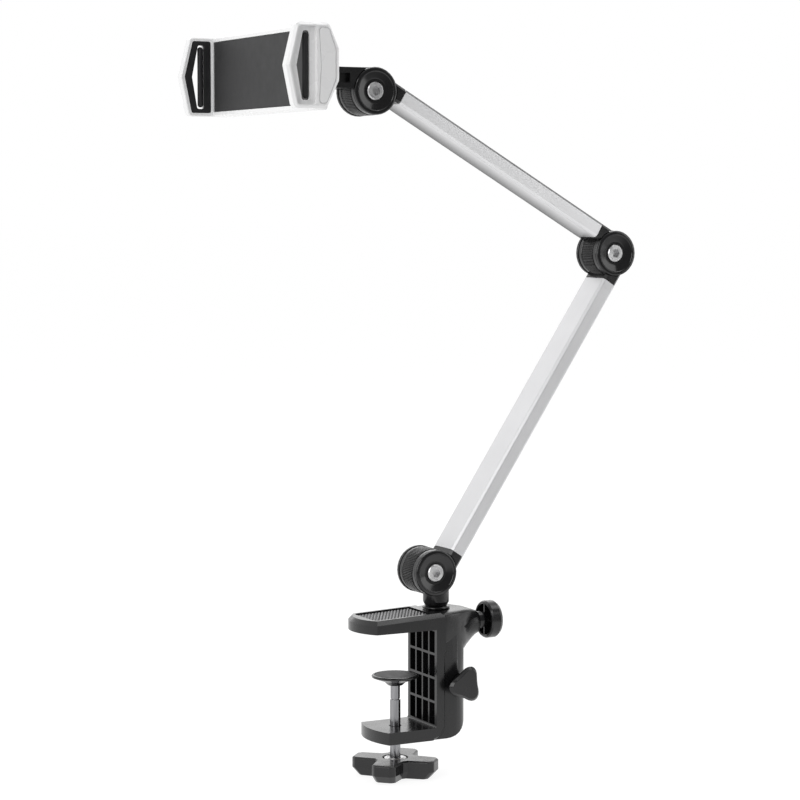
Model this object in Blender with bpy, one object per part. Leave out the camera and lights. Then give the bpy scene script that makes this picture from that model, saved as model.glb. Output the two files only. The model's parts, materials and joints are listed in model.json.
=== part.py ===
"""Clamp-on phone stand: desk clamp, swivel post, two aluminium arms on three drum joints, and a
sprung phone cradle.

Metres, +Z up. X runs from the jaw tips to the spine of the clamp, +Y runs along the joint bolts
from their heads to the rear knobs. The origin is where the pad under the upper jaw meets the desk
top, on the axis of the clamp screw. Every moving piece hangs from an empty on its joint axis.
"""

import math

import bmesh
import bpy
from mathutils import Matrix, Vector

MM = 0.001
GAP = 0.3 * MM

# Clamp, in side view
CLAMP_WIDTH = 45.0 * MM
JAW_UNDERSIDE = 0.5 * MM
JAW_TOP_AT_TIP = 9.9 * MM
JAW_TOP_SLOPE = math.radians(2.3)
JAW_TIP_X = -34.4 * MM
JAW_SHOULDER_X = -26.2 * MM
LOWER_JAW_TIP_X = -21.5 * MM
LOWER_JAW_TOP = -72.0 * MM
LOWER_JAW_THICKNESS = 9.0 * MM
LOWER_JAW_SHOULDER_X = -16.6 * MM
SLAB_TOP = 6.0 * MM
SPINE_FOOT_RADIUS = 11.0 * MM
JAW_RIM = 3.0 * MM
SPINE_FRONT_X = 22.6 * MM
SPINE_STEP_X = 30.2 * MM
SPINE_BACK_X = 51.9 * MM
SPINE_STEP = 2.0 * MM
SPINE_CORNER = 14.0 * MM
SPINE_HEEL_RADIUS = 20.0 * MM
PAD_INSET = 5.0 * MM
PAD_SETBACK = 9.0 * MM
PAD_SEAT_DEPTH = 2.4 * MM
POCKET_DEPTH = 5.8 * MM
POCKET_COLUMNS = 4
POCKET_ROWS = 4
POCKET_RIB = 1.8 * MM
BOSS_END_X = 68.0 * MM
LOCK_Z = 1.0 * MM
CROSS_AXIS = (43.0 * MM, -40.6 * MM)
SPOT_FACE_DEPTH = 1.2 * MM
KNOB_LOBE_RADIUS = 14.2 * MM
KNOB_LOBE_WAIST = 4.6 * MM
KNOB_HEIGHT = 10.5 * MM
CROSS_BOLT_RADIUS = 3.0 * MM
KNOB_LOBE_TURN = math.radians(187)

# Clamp screw
SCREW_DIAMETER = 7.8 * MM
SCREW_NECK_DIAMETER = 7.0 * MM
SCREW_RING_Z = -52.0 * MM
PRESSURE_PAD_TOP = -34.0 * MM
PRESSURE_PAD_DIAMETER = 35.0 * MM
HANDLE_TOP = -95.5 * MM
HANDLE_THICKNESS = 13.5 * MM
HANDLE_REACH = 31.5 * MM
HANDLE_FOOT_SHARE = 0.84

# Swivel post
POST_X = 34.0 * MM
POST_DIAMETER = 19.4 * MM
STUD_DIAMETER = 10.0 * MM
STUD_BOTTOM = -30.0 * MM
POST_FOOT = 15.0 * MM

# Drum joints, all of one size, along Y
DRUM_RADIUS = 17.0 * MM
DISH_FRONT = -15.0 * MM
DISH_BACK = -12.3 * MM
NEAR_CHEEK = (-12.0 * MM, -7.8 * MM)
BARREL = (-7.5 * MM, 7.5 * MM)
FAR_CHEEK = (8.2 * MM, 12.0 * MM)
REAR_KNOB = (12.3 * MM, 15.8 * MM)
BOLT_HEAD_FRONT = -14.2 * MM
BOLT_SHOULDER = -9.9 * MM
BOLT_TAIL = 14.4 * MM
SWEEP_RADIUS = DRUM_RADIUS + 0.5 * MM
KNOB_SWEEP_RADIUS = DRUM_RADIUS + 0.7 * MM
FAR_OUT = 20.0 * MM
BOLT_HEAD_DIAMETER = 13.0 * MM
BOLT_DIAMETER = 7.8 * MM
WASHER_THICKNESS = 0.4 * MM
CROWN_CLEARANCE = DRUM_RADIUS + 0.6 * MM

# Arms: straight tubes set to one side of the line between their joints, so that they can fold flat
ARM_WIDTH = 28.0 * MM
ARM_NEAR_LINE = -1.7 * MM
ARM_FAR_LINE = -13.8 * MM
ARM_CHAMFER = 1.8 * MM
ARM_WALL = 1.5 * MM
ARM_SETBACK = 21.0 * MM
PLUG_LENGTH = 18.0 * MM
BASE_AXIS = Vector((26.6 * MM, 0.0, 41.0 * MM))
LOWER_ARM_LENGTH = 278.5 * MM
LOWER_ARM_ANGLE = math.radians(56.5)
UPPER_ARM_LENGTH = 234.5 * MM
UPPER_ARM_ANGLE = math.radians(150.0)

# Cradle, measured from the head joint's axis
SPIN_RISE = 9.0 * MM
BRACKET_WIDTH = 28.4 * MM
BRACKET_HEIGHT = 14.8 * MM
BRACKET_END = -38.0 * MM
TRAY_FACE = -82.3 * MM
TRAY_LENGTH = 173.0 * MM
TRAY_HEIGHT = 58.0 * MM
TRAY_DEPTH = 8.8 * MM
TRAY_BACK = TRAY_FACE + TRAY_DEPTH
COVER_BACK = TRAY_BACK + 9.0 * MM
COVER_HALF = 62.0 * MM
SOCKET_RADIUS = 13.5 * MM
SOCKET_RISE = 9.6 * MM
SPIGOT_END = COVER_BACK - 3.0 * MM
SPIN_FLANGE = (6.0 * MM, 12.6 * MM)
CRADLE_RISE = 12.0 * MM
JAW_THICKNESS = 8.0 * MM
JAW_FRONT = -107.4 * MM
JAW_BACK = -68.2 * MM
JAW_TRAVEL = 25.0 * MM
WINDOW_HALF = 23.0 * MM
GRIP_HALF = 26.0 * MM
JAW_RECESS = 3.6 * MM
PINION_PITCH_RADIUS = 6.0 * MM
PINION_TEETH = 16
TRAY_WEB = 3.0 * MM
RACK = (TRAY_FACE + 4.0 * MM, TRAY_FACE + 7.6 * MM)
PIN_DIAMETER = 4.0 * MM
SPRING_COIL_RADIUS = 2.0 * MM
SPRING_WIRE_RADIUS = 0.45 * MM

JAWS = (("jaw_near", -1), ("jaw_far", 1))

SEGMENTS = 26


def clear_scene():
    for old in list(bpy.data.objects):
        bpy.data.objects.remove(old, do_unlink=True)


def make_material(name, colour, roughness, metallic=0.0):
    made = bpy.data.materials.new(name)
    made.use_nodes = True
    shader = made.node_tree.nodes["Principled BSDF"]
    shader.inputs["Base Color"].default_value = (*colour, 1.0)
    shader.inputs["Roughness"].default_value = roughness
    shader.inputs["Metallic"].default_value = metallic
    return made


def make_materials():
    return {
        "black_plastic": make_material("black_plastic", (0.018, 0.018, 0.020), 0.38),
        "white_plastic": make_material("white_plastic", (0.85, 0.85, 0.85), 0.25),
        "aluminium": make_material("aluminium", (0.72, 0.72, 0.73), 0.35, 1.0),
        "steel": make_material("steel", (0.55, 0.55, 0.56), 0.28, 1.0),
        "brass": make_material("brass", (0.60, 0.45, 0.18), 0.35, 1.0),
        "rubber": make_material("rubber", (0.030, 0.030, 0.032), 0.8),
        "grey_rubber": make_material("grey_rubber", (0.15, 0.15, 0.16), 0.85),
        "silicone": make_material("silicone", (0.055, 0.055, 0.055), 0.6),
    }


def make_empty(name, location, parent=None, turn_y=0.0):
    made = bpy.data.objects.new(name, None)
    bpy.context.scene.collection.objects.link(made)
    made.parent = parent
    made.location = location
    made.rotation_euler = (0.0, turn_y, 0.0)
    return made


def make_object(name, mesh_builder, material, parent=None):
    """An object from a finished bmesh, which is freed, with round parts shaded smooth."""
    bmesh.ops.recalc_face_normals(mesh_builder, faces=mesh_builder.faces)
    mesh = bpy.data.meshes.new(name)
    mesh_builder.to_mesh(mesh)
    mesh_builder.free()
    mesh.polygons.foreach_set("use_smooth", [True] * len(mesh.polygons))
    mesh.set_sharp_from_angle(angle=math.radians(32))
    if material:
        mesh.materials.append(material)
    made = bpy.data.objects.new(name, mesh)
    bpy.context.scene.collection.objects.link(made)
    made.parent = parent
    return made


def make_helper(name, mesh_builder, parent=None):
    """A cutter or other helper, which is never rendered."""
    made = make_object(name, mesh_builder, None, parent)
    made.hide_render = True
    made.display_type = "WIRE"
    return made


def add_boolean(target, other, operation="DIFFERENCE"):
    modifier = target.modifiers.new(operation.title() + "_" + other.name, "BOOLEAN")
    modifier.operation = operation
    modifier.solver = "EXACT"
    modifier.object = other


def stack(sections, closed_ends=True):
    """A bmesh skinned over rings of equal point counts, each a list of 3-D points."""
    builder = bmesh.new()
    rings = [[builder.verts.new(point) for point in ring] for ring in sections]
    count = len(rings[0])
    for lower, upper in zip(rings, rings[1:]):
        for i in range(count):
            j = (i + 1) % count
            builder.faces.new((lower[i], lower[j], upper[j], upper[i]))
    if closed_ends:
        builder.faces.new(list(reversed(rings[0])))
        builder.faces.new(rings[-1])
    else:
        for i in range(count):
            j = (i + 1) % count
            builder.faces.new((rings[-1][i], rings[-1][j], rings[0][j], rings[0][i]))
    return builder


PLANES = {
    "XY": lambda a, b, c: Vector((a, b, c)),
    "XZ": lambda a, b, c: Vector((a, c, b)),
    "YZ": lambda a, b, c: Vector((c, a, b)),
}


def prism(outline, low, high, plane="XY", chamfer_low=0.0, chamfer_high=0.0):
    """An outline drawn in a plane and raised from low to high, with optional edge chamfers."""
    place = PLANES[plane]
    levels = [(low, chamfer_low)]
    if chamfer_low:
        levels.append((low + chamfer_low, 0.0))
    if chamfer_high:
        levels.append((high - chamfer_high, 0.0))
    levels.append((high, chamfer_high))
    return stack([[place(a, b, c) for a, b in shrink(outline, d)] for c, d in levels])


def shrink(outline, distance):
    """The outline moved inwards by a distance, corner by corner."""
    if not distance:
        return list(outline)
    area = sum(
        a[0] * b[1] - b[0] * a[1] for a, b in zip(outline, outline[1:] + outline[:1])
    )
    side = 1.0 if area > 0 else -1.0
    moved = []
    for i, here in enumerate(outline):
        before = Vector(here) - Vector(outline[i - 1])
        after = Vector(outline[(i + 1) % len(outline)]) - Vector(here)
        first = Vector((-before.y, before.x)).normalized() * side
        second = Vector((-after.y, after.x)).normalized() * side
        inwards = (first + second).normalized()
        reach = distance / max(inwards.dot(first), 0.4)
        moved.append((here[0] + inwards.x * reach, here[1] + inwards.y * reach))
    return moved


def rectangle(a_low, a_high, b_low, b_high):
    return [(a_low, b_low), (a_high, b_low), (a_high, b_high), (a_low, b_high)]


def circle(centre, radius, segments=SEGMENTS):
    return [
        (
            centre[0] + radius * math.cos(2 * math.pi * i / segments),
            centre[1] + radius * math.sin(2 * math.pi * i / segments),
        )
        for i in range(segments)
    ]


def rounded(corners, steps=5):
    """An outline from (a, b, radius) corners, with each corner filleted by its radius."""
    outline = []
    for i, (a, b, radius) in enumerate(corners):
        here = Vector((a, b))
        if not radius:
            outline.append((a, b))
            continue
        before = (Vector(corners[i - 1][:2]) - here).normalized()
        after = (Vector(corners[(i + 1) % len(corners)][:2]) - here).normalized()
        half = math.acos(max(-1.0, min(1.0, before.dot(after)))) / 2
        centre = here + (before + after).normalized() * (radius / math.sin(half))
        start = here + before * (radius / math.tan(half)) - centre
        end = here + after * (radius / math.tan(half)) - centre
        sweep = start.angle_signed(end)
        for step in range(steps + 1):
            turn = Matrix.Rotation(-sweep * step / steps, 2)
            point = centre + turn @ start
            outline.append((point.x, point.y))
    return outline


def lathe(profile, axis="Y", centre=(0.0, 0.0), segments=SEGMENTS):
    """A solid of revolution. The profile is (radius, height) points: from axis to axis, or a ring."""
    place = {
        "X": lambda r, h, a: Vector((h, centre[0] + r * math.cos(a), centre[1] + r * math.sin(a))),
        "Y": lambda r, h, a: Vector((centre[0] + r * math.cos(a), h, centre[1] + r * math.sin(a))),
        "Z": lambda r, h, a: Vector((centre[0] + r * math.cos(a), centre[1] + r * math.sin(a), h)),
    }[axis]
    builder = bmesh.new()
    angles = [2 * math.pi * i / segments for i in range(segments)]
    rings = []
    for radius, height in profile:
        if radius == 0.0:
            rings.append([builder.verts.new(place(0.0, height, 0.0))])
        else:
            rings.append([builder.verts.new(place(radius, height, a)) for a in angles])
    pairs = list(zip(rings, rings[1:]))
    if profile[0][0] > 0.0:
        pairs.append((rings[-1], rings[0]))
    for lower, upper in pairs:
        for i in range(segments):
            j = (i + 1) % segments
            face = [
                lower[i % len(lower)],
                lower[j % len(lower)],
                upper[j % len(upper)],
                upper[i % len(upper)],
            ]
            builder.faces.new(list(dict.fromkeys(face)))
    return builder


def rod(radius, low, high, axis="Y", centre=(0.0, 0.0), segments=24):
    """A plain round rod along an axis, also used to cut plain bores."""
    return lathe([(0.0, low), (radius, low), (radius, high), (0.0, high)], axis, centre, segments)


def merge(builders):
    """One bmesh that holds several separate closed shapes, for a cutter."""
    whole = bmesh.new()
    for builder in builders:
        mesh = bpy.data.meshes.new("part_of_cutter")
        bmesh.ops.recalc_face_normals(builder, faces=builder.faces)
        builder.to_mesh(mesh)
        builder.free()
        whole.from_mesh(mesh)
        bpy.data.meshes.remove(mesh)
    return whole


# ---------------------------------------------------------------- clamp


def jaw_outline(tip_x=JAW_TIP_X, shoulder_x=JAW_SHOULDER_X):
    """A jaw from above: parallel sides and an arc for a tip."""
    half = CLAMP_WIDTH / 2
    sagitta = shoulder_x - tip_x
    radius = (half**2 + sagitta**2) / (2 * sagitta)
    centre_x = tip_x + radius
    reach = math.asin(half / radius)
    steps = 14
    tip = []
    for step in range(steps + 1):
        angle = math.pi - reach + 2 * reach * step / steps
        tip.append((centre_x + radius * math.cos(angle), radius * math.sin(angle)))
    return tip + [(SPINE_STEP_X, -half), (SPINE_STEP_X, half)]


def top_frame(builder):
    """Tips a bmesh drawn with its top at z = 0 up on to the jaw's sloping top face."""
    tilt = Matrix.Translation(
        (JAW_TIP_X, 0.0, JAW_TOP_AT_TIP)
    ) @ Matrix.Rotation(-JAW_TOP_SLOPE, 4, "Y")
    bmesh.ops.transform(
        builder, matrix=tilt @ Matrix.Translation((-JAW_TIP_X, 0.0, 0.0)), verts=builder.verts,
    )
    return builder


def pad_outline(inset):
    """The grip pad set into the jaw's top, from behind the tip to just short of the post."""
    outline = shrink(jaw_outline(), inset)
    slack = inset - PAD_INSET
    front_x = JAW_TIP_X + PAD_SETBACK + slack
    end_x = POST_X - POST_DIAMETER / 2 - 3.5 * MM - slack
    return [(max(front_x, min(x, end_x)), y) for x, y in outline]


def jaw_slab():
    """The upper jaw: its underside is level and its top, with a chamfered rim, slopes."""
    low = [Vector((x, y, JAW_UNDERSIDE)) for x, y in jaw_outline()]

    def top_z(x):
        return JAW_TOP_AT_TIP + (x - JAW_TIP_X) * math.tan(JAW_TOP_SLOPE)

    side = [Vector((x, y, top_z(x) - JAW_RIM)) for x, y in jaw_outline()]
    top = [Vector((x, y, top_z(x))) for x, y in shrink(jaw_outline(), JAW_RIM)]
    return stack([low, side, top])


def clamp_plan():
    """The clamp's front half from above, with the lower jaw's arc for a tip."""
    outline = jaw_outline(LOWER_JAW_TIP_X, LOWER_JAW_SHOULDER_X)
    return prism(outline, LOWER_JAW_TOP - 2 * LOWER_JAW_THICKNESS, SLAB_TOP + 1.0 * MM)


def foot_filler():
    """Carries the lower jaw's flat bottom on under the rounded foot of the spine's slab."""
    half = CLAMP_WIDTH / 2 - SPINE_STEP
    bottom = LOWER_JAW_TOP - LOWER_JAW_THICKNESS
    front = SPINE_STEP_X - SPINE_FOOT_RADIUS - 4.0 * MM
    return prism(rectangle(front, SPINE_STEP_X, -half, half), bottom, LOWER_JAW_TOP - 0.5 * MM)


def spine_slab():
    """The flat-sided front of the spine and the lower jaw in side view, curved at the foot."""
    bottom = LOWER_JAW_TOP - LOWER_JAW_THICKNESS
    corners = [
        (LOWER_JAW_TIP_X - 1.0 * MM, bottom, 0.0),
        (SPINE_STEP_X, bottom, SPINE_FOOT_RADIUS),
        (SPINE_STEP_X, SLAB_TOP, 0.0),
        (SPINE_FRONT_X, SLAB_TOP, 0.0),
        (SPINE_FRONT_X, LOWER_JAW_TOP, 1.5 * MM),
        (LOWER_JAW_TIP_X - 1.0 * MM, LOWER_JAW_TOP, 0.0),
    ]
    return prism(rounded(corners), -CLAMP_WIDTH, CLAMP_WIDTH, "XZ")


def spine_column():
    """The rounded back of the spine, a little narrower than its front."""
    half = CLAMP_WIDTH / 2 - SPINE_STEP
    plan = [
        (SPINE_FRONT_X + 3.0 * MM, -half, 0.0),
        (SPINE_BACK_X, -half, SPINE_CORNER),
        (SPINE_BACK_X, half, SPINE_CORNER),
        (SPINE_FRONT_X + 3.0 * MM, half, 0.0),
    ]
    bottom = LOWER_JAW_TOP - LOWER_JAW_THICKNESS
    return prism(rounded(plan, 8), bottom, 9.0 * MM)


def heel_cutter():
    """What is taken off below the spine to round its heel in side view."""
    low = LOWER_JAW_TOP - LOWER_JAW_THICKNESS
    centre_x = SPINE_BACK_X - SPINE_HEEL_RADIUS
    centre_z = low + SPINE_HEEL_RADIUS
    steps = 8
    outline = []
    for step in range(steps + 1):
        angle = -math.pi / 2 * step / steps
        outline.append(
            (
                centre_x + SPINE_HEEL_RADIUS * math.cos(angle),
                centre_z + SPINE_HEEL_RADIUS * math.sin(angle),
            )
        )
    outline += [
        (centre_x, low - 5.0 * MM),
        (SPINE_BACK_X + 5.0 * MM, low - 5.0 * MM),
        (SPINE_BACK_X + 5.0 * MM, centre_z),
    ]
    return prism(outline, -CLAMP_WIDTH, CLAMP_WIDTH, "XZ")


def loft_along_x(sections, segments=24):
    """A solid through (x, half width, low z, high z, squareness) sections, in millimetres."""
    rings = []
    for x, half_y, low, high, squareness in sections:
        ring = []
        for i in range(segments):
            angle = 2 * math.pi * i / segments
            across, up = math.cos(angle), math.sin(angle)
            y = half_y * math.copysign(abs(across) ** (2 / squareness), across)
            lift = math.copysign(abs(up) ** (2 / squareness), up)
            z = (low + high) / 2 + (high - low) / 2 * lift
            ring.append(Vector((x * MM, y * MM, z * MM)))
        rings.append(ring)
    return stack(rings)


def boss_shoulders():
    """The flat shoulders beside the post, which narrow towards the lock screw."""
    return loft_along_x(
        [
            (24.0, 21.6, -12.0, 12.0, 8.0),
            (31.0, 21.9, -12.0, 12.35, 8.0),
            (40.0, 20.8, -7.0, 12.8, 8.0),
            (50.0, 16.4, -1.0, 12.9, 7.0),
            (58.0, 11.2, 2.5, 11.8, 5.0),
            (64.0, 8.1, 4.0, 9.8, 4.0),
        ]
    )


def boss():
    """The hollow-curved flare from the housing to the seat of the lock screw."""
    return loft_along_x(
        [
            (34.0, 20.3, -18.0, 12.0, 5.0),
            (42.0, 19.6, -20.5, 12.4, 4.0),
            (48.0, 17.6, -21.5, 12.6, 3.4),
            (52.0, 14.5, -19.5, 12.5, 3.0),
            (55.0, 12.4, -17.0, 12.2, 2.8),
            (58.0, 10.7, -15.0, 11.2, 2.6),
            (61.0, 9.3, -12.6, 10.6, 2.4),
            (64.5, 8.2, -10.0, 9.0, 2.2),
            (68.0, 7.4, -8.4, 7.5, 2.0),
        ]
    )


def pocket_cutter():
    """Four by four deep pockets in the face of the spine, between thin ribs."""
    half = CLAMP_WIDTH / 2 - 3.4 * MM
    width = (2 * half - (POCKET_COLUMNS - 1) * POCKET_RIB) / POCKET_COLUMNS
    top = JAW_UNDERSIDE - 1.6 * MM
    height = (top - LOWER_JAW_TOP - POCKET_ROWS * POCKET_RIB) / POCKET_ROWS
    boxes = []
    for column in range(POCKET_COLUMNS):
        low_y = -half + column * (width + POCKET_RIB)
        for row in range(POCKET_ROWS):
            high_z = top - row * (height + POCKET_RIB)
            face = rectangle(low_y, low_y + width, high_z - height, high_z)
            boxes.append(prism(face, SPINE_FRONT_X - 1.0 * MM, SPINE_FRONT_X + POCKET_DEPTH, "YZ"))
    return merge(boxes)


def make_clamp(paint):
    body = make_object("clamp_body", jaw_slab(), paint["black_plastic"])
    slab = make_helper("spine_slab_shape", spine_slab())
    add_boolean(slab, make_helper("clamp_plan_shape", clamp_plan()), "INTERSECT")
    column = make_helper("spine_column_shape", spine_column())
    add_boolean(column, make_helper("heel_cutter", heel_cutter()))
    added = (
        slab,
        make_helper("foot_filler_shape", foot_filler()),
        column,
        make_helper("boss_shape", boss()),
        make_helper("boss_shoulder_shape", boss_shoulders()),
    )
    for helper in added:
        add_boolean(body, helper, "UNION")
    cutters = {
        "pad_seat_cutter": top_frame(prism(pad_outline(PAD_INSET), -PAD_SEAT_DEPTH, 3.0 * MM)),
        "desk_pad_cutter": prism(desk_pad_outline(0.0), -3.0 * MM, 1.8 * MM),
        "pocket_cutter": pocket_cutter(),
        "spot_face_cutter": spot_faces(),
        "stud_bore": rod(6.3 * MM, STUD_BOTTOM - 1.0 * MM, 20.0 * MM, "Z", (POST_X, 0.0)),
        "insert_bore": rod(6.3 * MM, -95.0 * MM, LOWER_JAW_TOP - 2.0 * MM, "Z"),
        "screw_bore": rod(4.6 * MM, LOWER_JAW_TOP - 4.0 * MM, -60.0 * MM, "Z"),
        "lock_bore": rod(3.5 * MM, POST_X, 80.0 * MM, "X", (0.0, LOCK_Z)),
        "cross_bore": rod(3.4 * MM, -30.0 * MM, 30.0 * MM, "Y", CROSS_AXIS),
    }
    for name, cutter in cutters.items():
        add_boolean(body, make_helper(name, cutter))
    pad = top_frame(prism(pad_outline(PAD_INSET + GAP), GAP - PAD_SEAT_DEPTH, -1.0 * MM))
    make_object("jaw_top_pad", pad, paint["grey_rubber"])
    make_object("desk_pad", prism(desk_pad_outline(GAP), 0.0, 1.5 * MM), paint["rubber"])


def desk_pad_outline(inset):
    """The pad under the upper jaw, which rests on the desk."""
    corners = [
        (-22.0 * MM, -17.0 * MM, 6.0 * MM),
        (18.0 * MM, -17.0 * MM, 2.0 * MM),
        (18.0 * MM, 17.0 * MM, 2.0 * MM),
        (-22.0 * MM, 17.0 * MM, 6.0 * MM),
    ]
    return shrink(rounded(corners, 4), inset)


def spot_faces():
    """Flat seats for the two side knobs on the rounded back of the spine."""
    half = CLAMP_WIDTH / 2 - SPINE_STEP
    shapes = []
    for side in (-1, 1):
        low, high = sorted((side * (half - SPOT_FACE_DEPTH), side * (half + 10.0 * MM)))
        shapes.append(rod(7.0 * MM, low, high, "Y", CROSS_AXIS, SEGMENTS))
    return merge(shapes)


def make_clamp_fittings(paint):
    """The sleeve that guides the post and the threaded insert in the lower jaw."""
    inner = STUD_DIAMETER / 2 + GAP
    sleeve = [
        (inner, STUD_BOTTOM - 0.5 * MM),
        (6.0 * MM, STUD_BOTTOM - 0.5 * MM),
        (6.0 * MM, 13.1 * MM),
        (10.2 * MM, 13.1 * MM),
        (10.2 * MM, 14.0 * MM),
        (9.4 * MM, POST_FOOT - GAP),
        (inner, POST_FOOT - GAP),
    ]
    make_object("post_sleeve", lathe(sleeve, "Z", (POST_X, 0.0)), paint["black_plastic"])
    low = LOWER_JAW_TOP - LOWER_JAW_THICKNESS
    high = LOWER_JAW_TOP - 2.3 * MM
    bore = SCREW_DIAMETER / 2 + GAP
    insert = [
        (bore, low - 0.8 * MM),
        (8.0 * MM, low - 0.8 * MM),
        (8.0 * MM, low - 0.3 * MM),
        (6.0 * MM, low - 0.3 * MM),
        (6.0 * MM, high),
        (bore, high),
    ]
    make_object("screw_insert", lathe(insert, "Z"), paint["brass"])


def hex_cutter(across_flats, low, high, plane):
    return prism(circle((0.0, 0.0), across_flats / math.sqrt(3), 6), low, high, plane)


def make_pressure_pad(slide, paint):
    """The round pad on the screw's tip, with the grey disc set in its top."""
    top = PRESSURE_PAD_TOP
    radius = PRESSURE_PAD_DIAMETER / 2
    socket = SCREW_NECK_DIAMETER / 2 + 0.4 * MM
    pad = [
        (0.0, top - 1.2 * MM),
        (radius - 2.0 * MM, top - 1.2 * MM),
        (radius - 2.0 * MM, top),
        (radius - 0.8 * MM, top),
        (radius, top - 0.8 * MM),
        (radius - 0.3 * MM, top - 1.8 * MM),
        (8.0 * MM, top - 5.2 * MM),
        (6.4 * MM, top - 6.8 * MM),
        (5.6 * MM, top - 7.6 * MM),
        (socket, top - 7.6 * MM),
        (socket, top - 3.4 * MM),
        (0.0, top - 3.4 * MM),
    ]
    make_object("pressure_pad", lathe(pad, "Z"), paint["black_plastic"], slide)
    face = rod(radius - 2.3 * MM, top - 0.9 * MM, top - 0.1 * MM, "Z", segments=SEGMENTS)
    make_object("pressure_pad_face", face, paint["grey_rubber"], slide)


def make_screw(paint):
    """The clamp screw, its pressure pad and its handle."""
    slide = make_empty("screw_slide", (0.0, 0.0, 0.0))
    make_pressure_pad(slide, paint)
    turn = make_empty("screw_turn", (0.0, 0.0, 0.0), slide)
    neck = SCREW_NECK_DIAMETER / 2
    thread = SCREW_DIAMETER / 2
    groove = neck - 0.6 * MM
    foot = HANDLE_TOP - HANDLE_THICKNESS + 0.6 * MM
    tip = PRESSURE_PAD_TOP - 3.7 * MM
    screw = [
        (0.0, foot),
        (thread - 0.8 * MM, foot),
        (thread, foot + 0.8 * MM),
        (thread, SCREW_RING_Z - 0.4 * MM),
        (groove, SCREW_RING_Z - 0.4 * MM),
        (groove, SCREW_RING_Z + 0.4 * MM),
        (neck, SCREW_RING_Z + 0.4 * MM),
        (neck, tip - 0.7 * MM),
        (neck - 0.7 * MM, tip),
        (0.0, tip),
    ]
    make_object("clamp_screw", lathe(screw, "Z", segments=32), paint["steel"], turn)
    handle = make_object("screw_handle", handle_shape(), paint["black_plastic"], turn)
    bore = rod(thread + GAP, HANDLE_TOP - 20.0 * MM, HANDLE_TOP + 5.0 * MM, "Z", segments=32)
    add_boolean(handle, make_helper("handle_bore", bore, turn))
    dish = [
        (0.0, HANDLE_TOP - 1.8 * MM),
        (9.0 * MM, HANDLE_TOP - 1.8 * MM),
        (10.0 * MM, HANDLE_TOP + 1.0 * MM),
        (0.0, HANDLE_TOP + 1.0 * MM),
    ]
    add_boolean(handle, make_helper("handle_dish", lathe(dish, "Z"), turn))
    collar = [
        (thread + GAP, HANDLE_TOP - 1.5 * MM),
        (8.2 * MM, HANDLE_TOP - 1.5 * MM),
        (8.2 * MM, HANDLE_TOP - 0.2 * MM),
        (thread + GAP, HANDLE_TOP - 0.2 * MM),
    ]
    make_object("handle_collar", lathe(collar, "Z"), paint["steel"], turn)


def handle_shape():
    """A four-lobed cross with its lobes on the diagonals and hollows between them."""
    half_end = 9.0 * MM
    half_root = 10.2 * MM
    root = 13.0 * MM
    corner = 3.0 * MM
    fillet = 2.6 * MM
    corners = []
    for lobe in range(4):
        along = math.radians(45 + 90 * lobe)
        forward = Vector((math.cos(along), math.sin(along)))
        side = Vector((-forward.y, forward.x))
        corners += [
            (*(forward * root - side * half_root), 0.0),
            (*(forward * (HANDLE_REACH - corner) - side * half_end), fillet),
            (*(forward * HANDLE_REACH - side * (half_end - corner)), fillet),
            (*(forward * HANDLE_REACH + side * (half_end - corner)), fillet),
            (*(forward * (HANDLE_REACH - corner) + side * half_end), fillet),
            (*(forward * root + side * half_root), 0.0),
        ]
    outline = rounded(corners, 2)
    foot = [(a * HANDLE_FOOT_SHARE, b * HANDLE_FOOT_SHARE) for a, b in outline]
    low = HANDLE_TOP - HANDLE_THICKNESS
    crown = 1.0 * MM
    levels = (
        (foot, low),
        (outline, low + 5.5 * MM),
        (outline, HANDLE_TOP - crown),
        (shrink(outline, crown), HANDLE_TOP),
    )
    return stack([[Vector((a, b, z)) for a, b in ring] for ring, z in levels])


def make_lock_screw(paint):
    """The upper knob at the back, whose screw presses on the post's stud."""
    turn = make_empty("lock_screw_turn", (BOSS_END_X, 0.0, LOCK_Z))
    tip = POST_X + 7.0 * MM - BOSS_END_X
    screw_end = 8.4 * MM
    make_object("lock_screw", rod(3.0 * MM, tip, screw_end, "X"), paint["steel"], turn)
    bore = 3.3 * MM
    hub = 5.0 * MM
    rim = 14.0 * MM
    wall = 2.4 * MM
    front = 6.1 * MM
    back = 16.8 * MM
    web = back - 3.5 * MM
    knob = [
        (0.0, screw_end + 0.4 * MM),
        (bore, screw_end + 0.4 * MM),
        (bore, 0.3 * MM),
        (6.4 * MM, 0.3 * MM),
        (6.6 * MM, 4.0 * MM),
        (hub, front + 1.0 * MM),
        (hub, web),
        (rim - wall, web),
        (rim - wall, front + 0.6 * MM),
        (rim - 1.6 * MM, front),
        (rim - 0.8 * MM, front + 0.4 * MM),
        (rim, front + 1.6 * MM),
        (rim, back - 3.0 * MM),
        (rim - 1.6 * MM, back - 0.7 * MM),
        (9.0 * MM, back),
        (0.0, back),
    ]
    body = make_object("lock_knob", lathe(knob, "X"), paint["black_plastic"], turn)
    thin = 0.6 * MM
    reach = rim - 1.8 * MM
    spokes = (rectangle(-thin, thin, -reach, reach), rectangle(-reach, reach, -thin, thin))
    for index, outline in enumerate(spokes):
        spoke = prism(outline, front + 0.8 * MM, web + 0.5 * MM, "YZ")
        add_boolean(body, make_helper(f"lock_knob_spoke_{index}", spoke, turn), "UNION")
    cleared = rod(bore, -2.0 * MM, screw_end + 0.4 * MM, "X")
    add_boolean(body, make_helper("lock_knob_bore", cleared, turn))


def lobe_outline(radius, lobes, waist, segments=36, phase=math.pi):
    """A rounded outline with equal lobes, one of which points along phase."""
    outline = []
    for i in range(segments):
        angle = 2 * math.pi * i / segments
        wave = (1 + math.cos(lobes * (angle - phase))) / 2
        reach = radius - waist * (1 - wave**1.3)
        outline.append((reach * math.cos(angle), reach * math.sin(angle)))
    return outline


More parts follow.
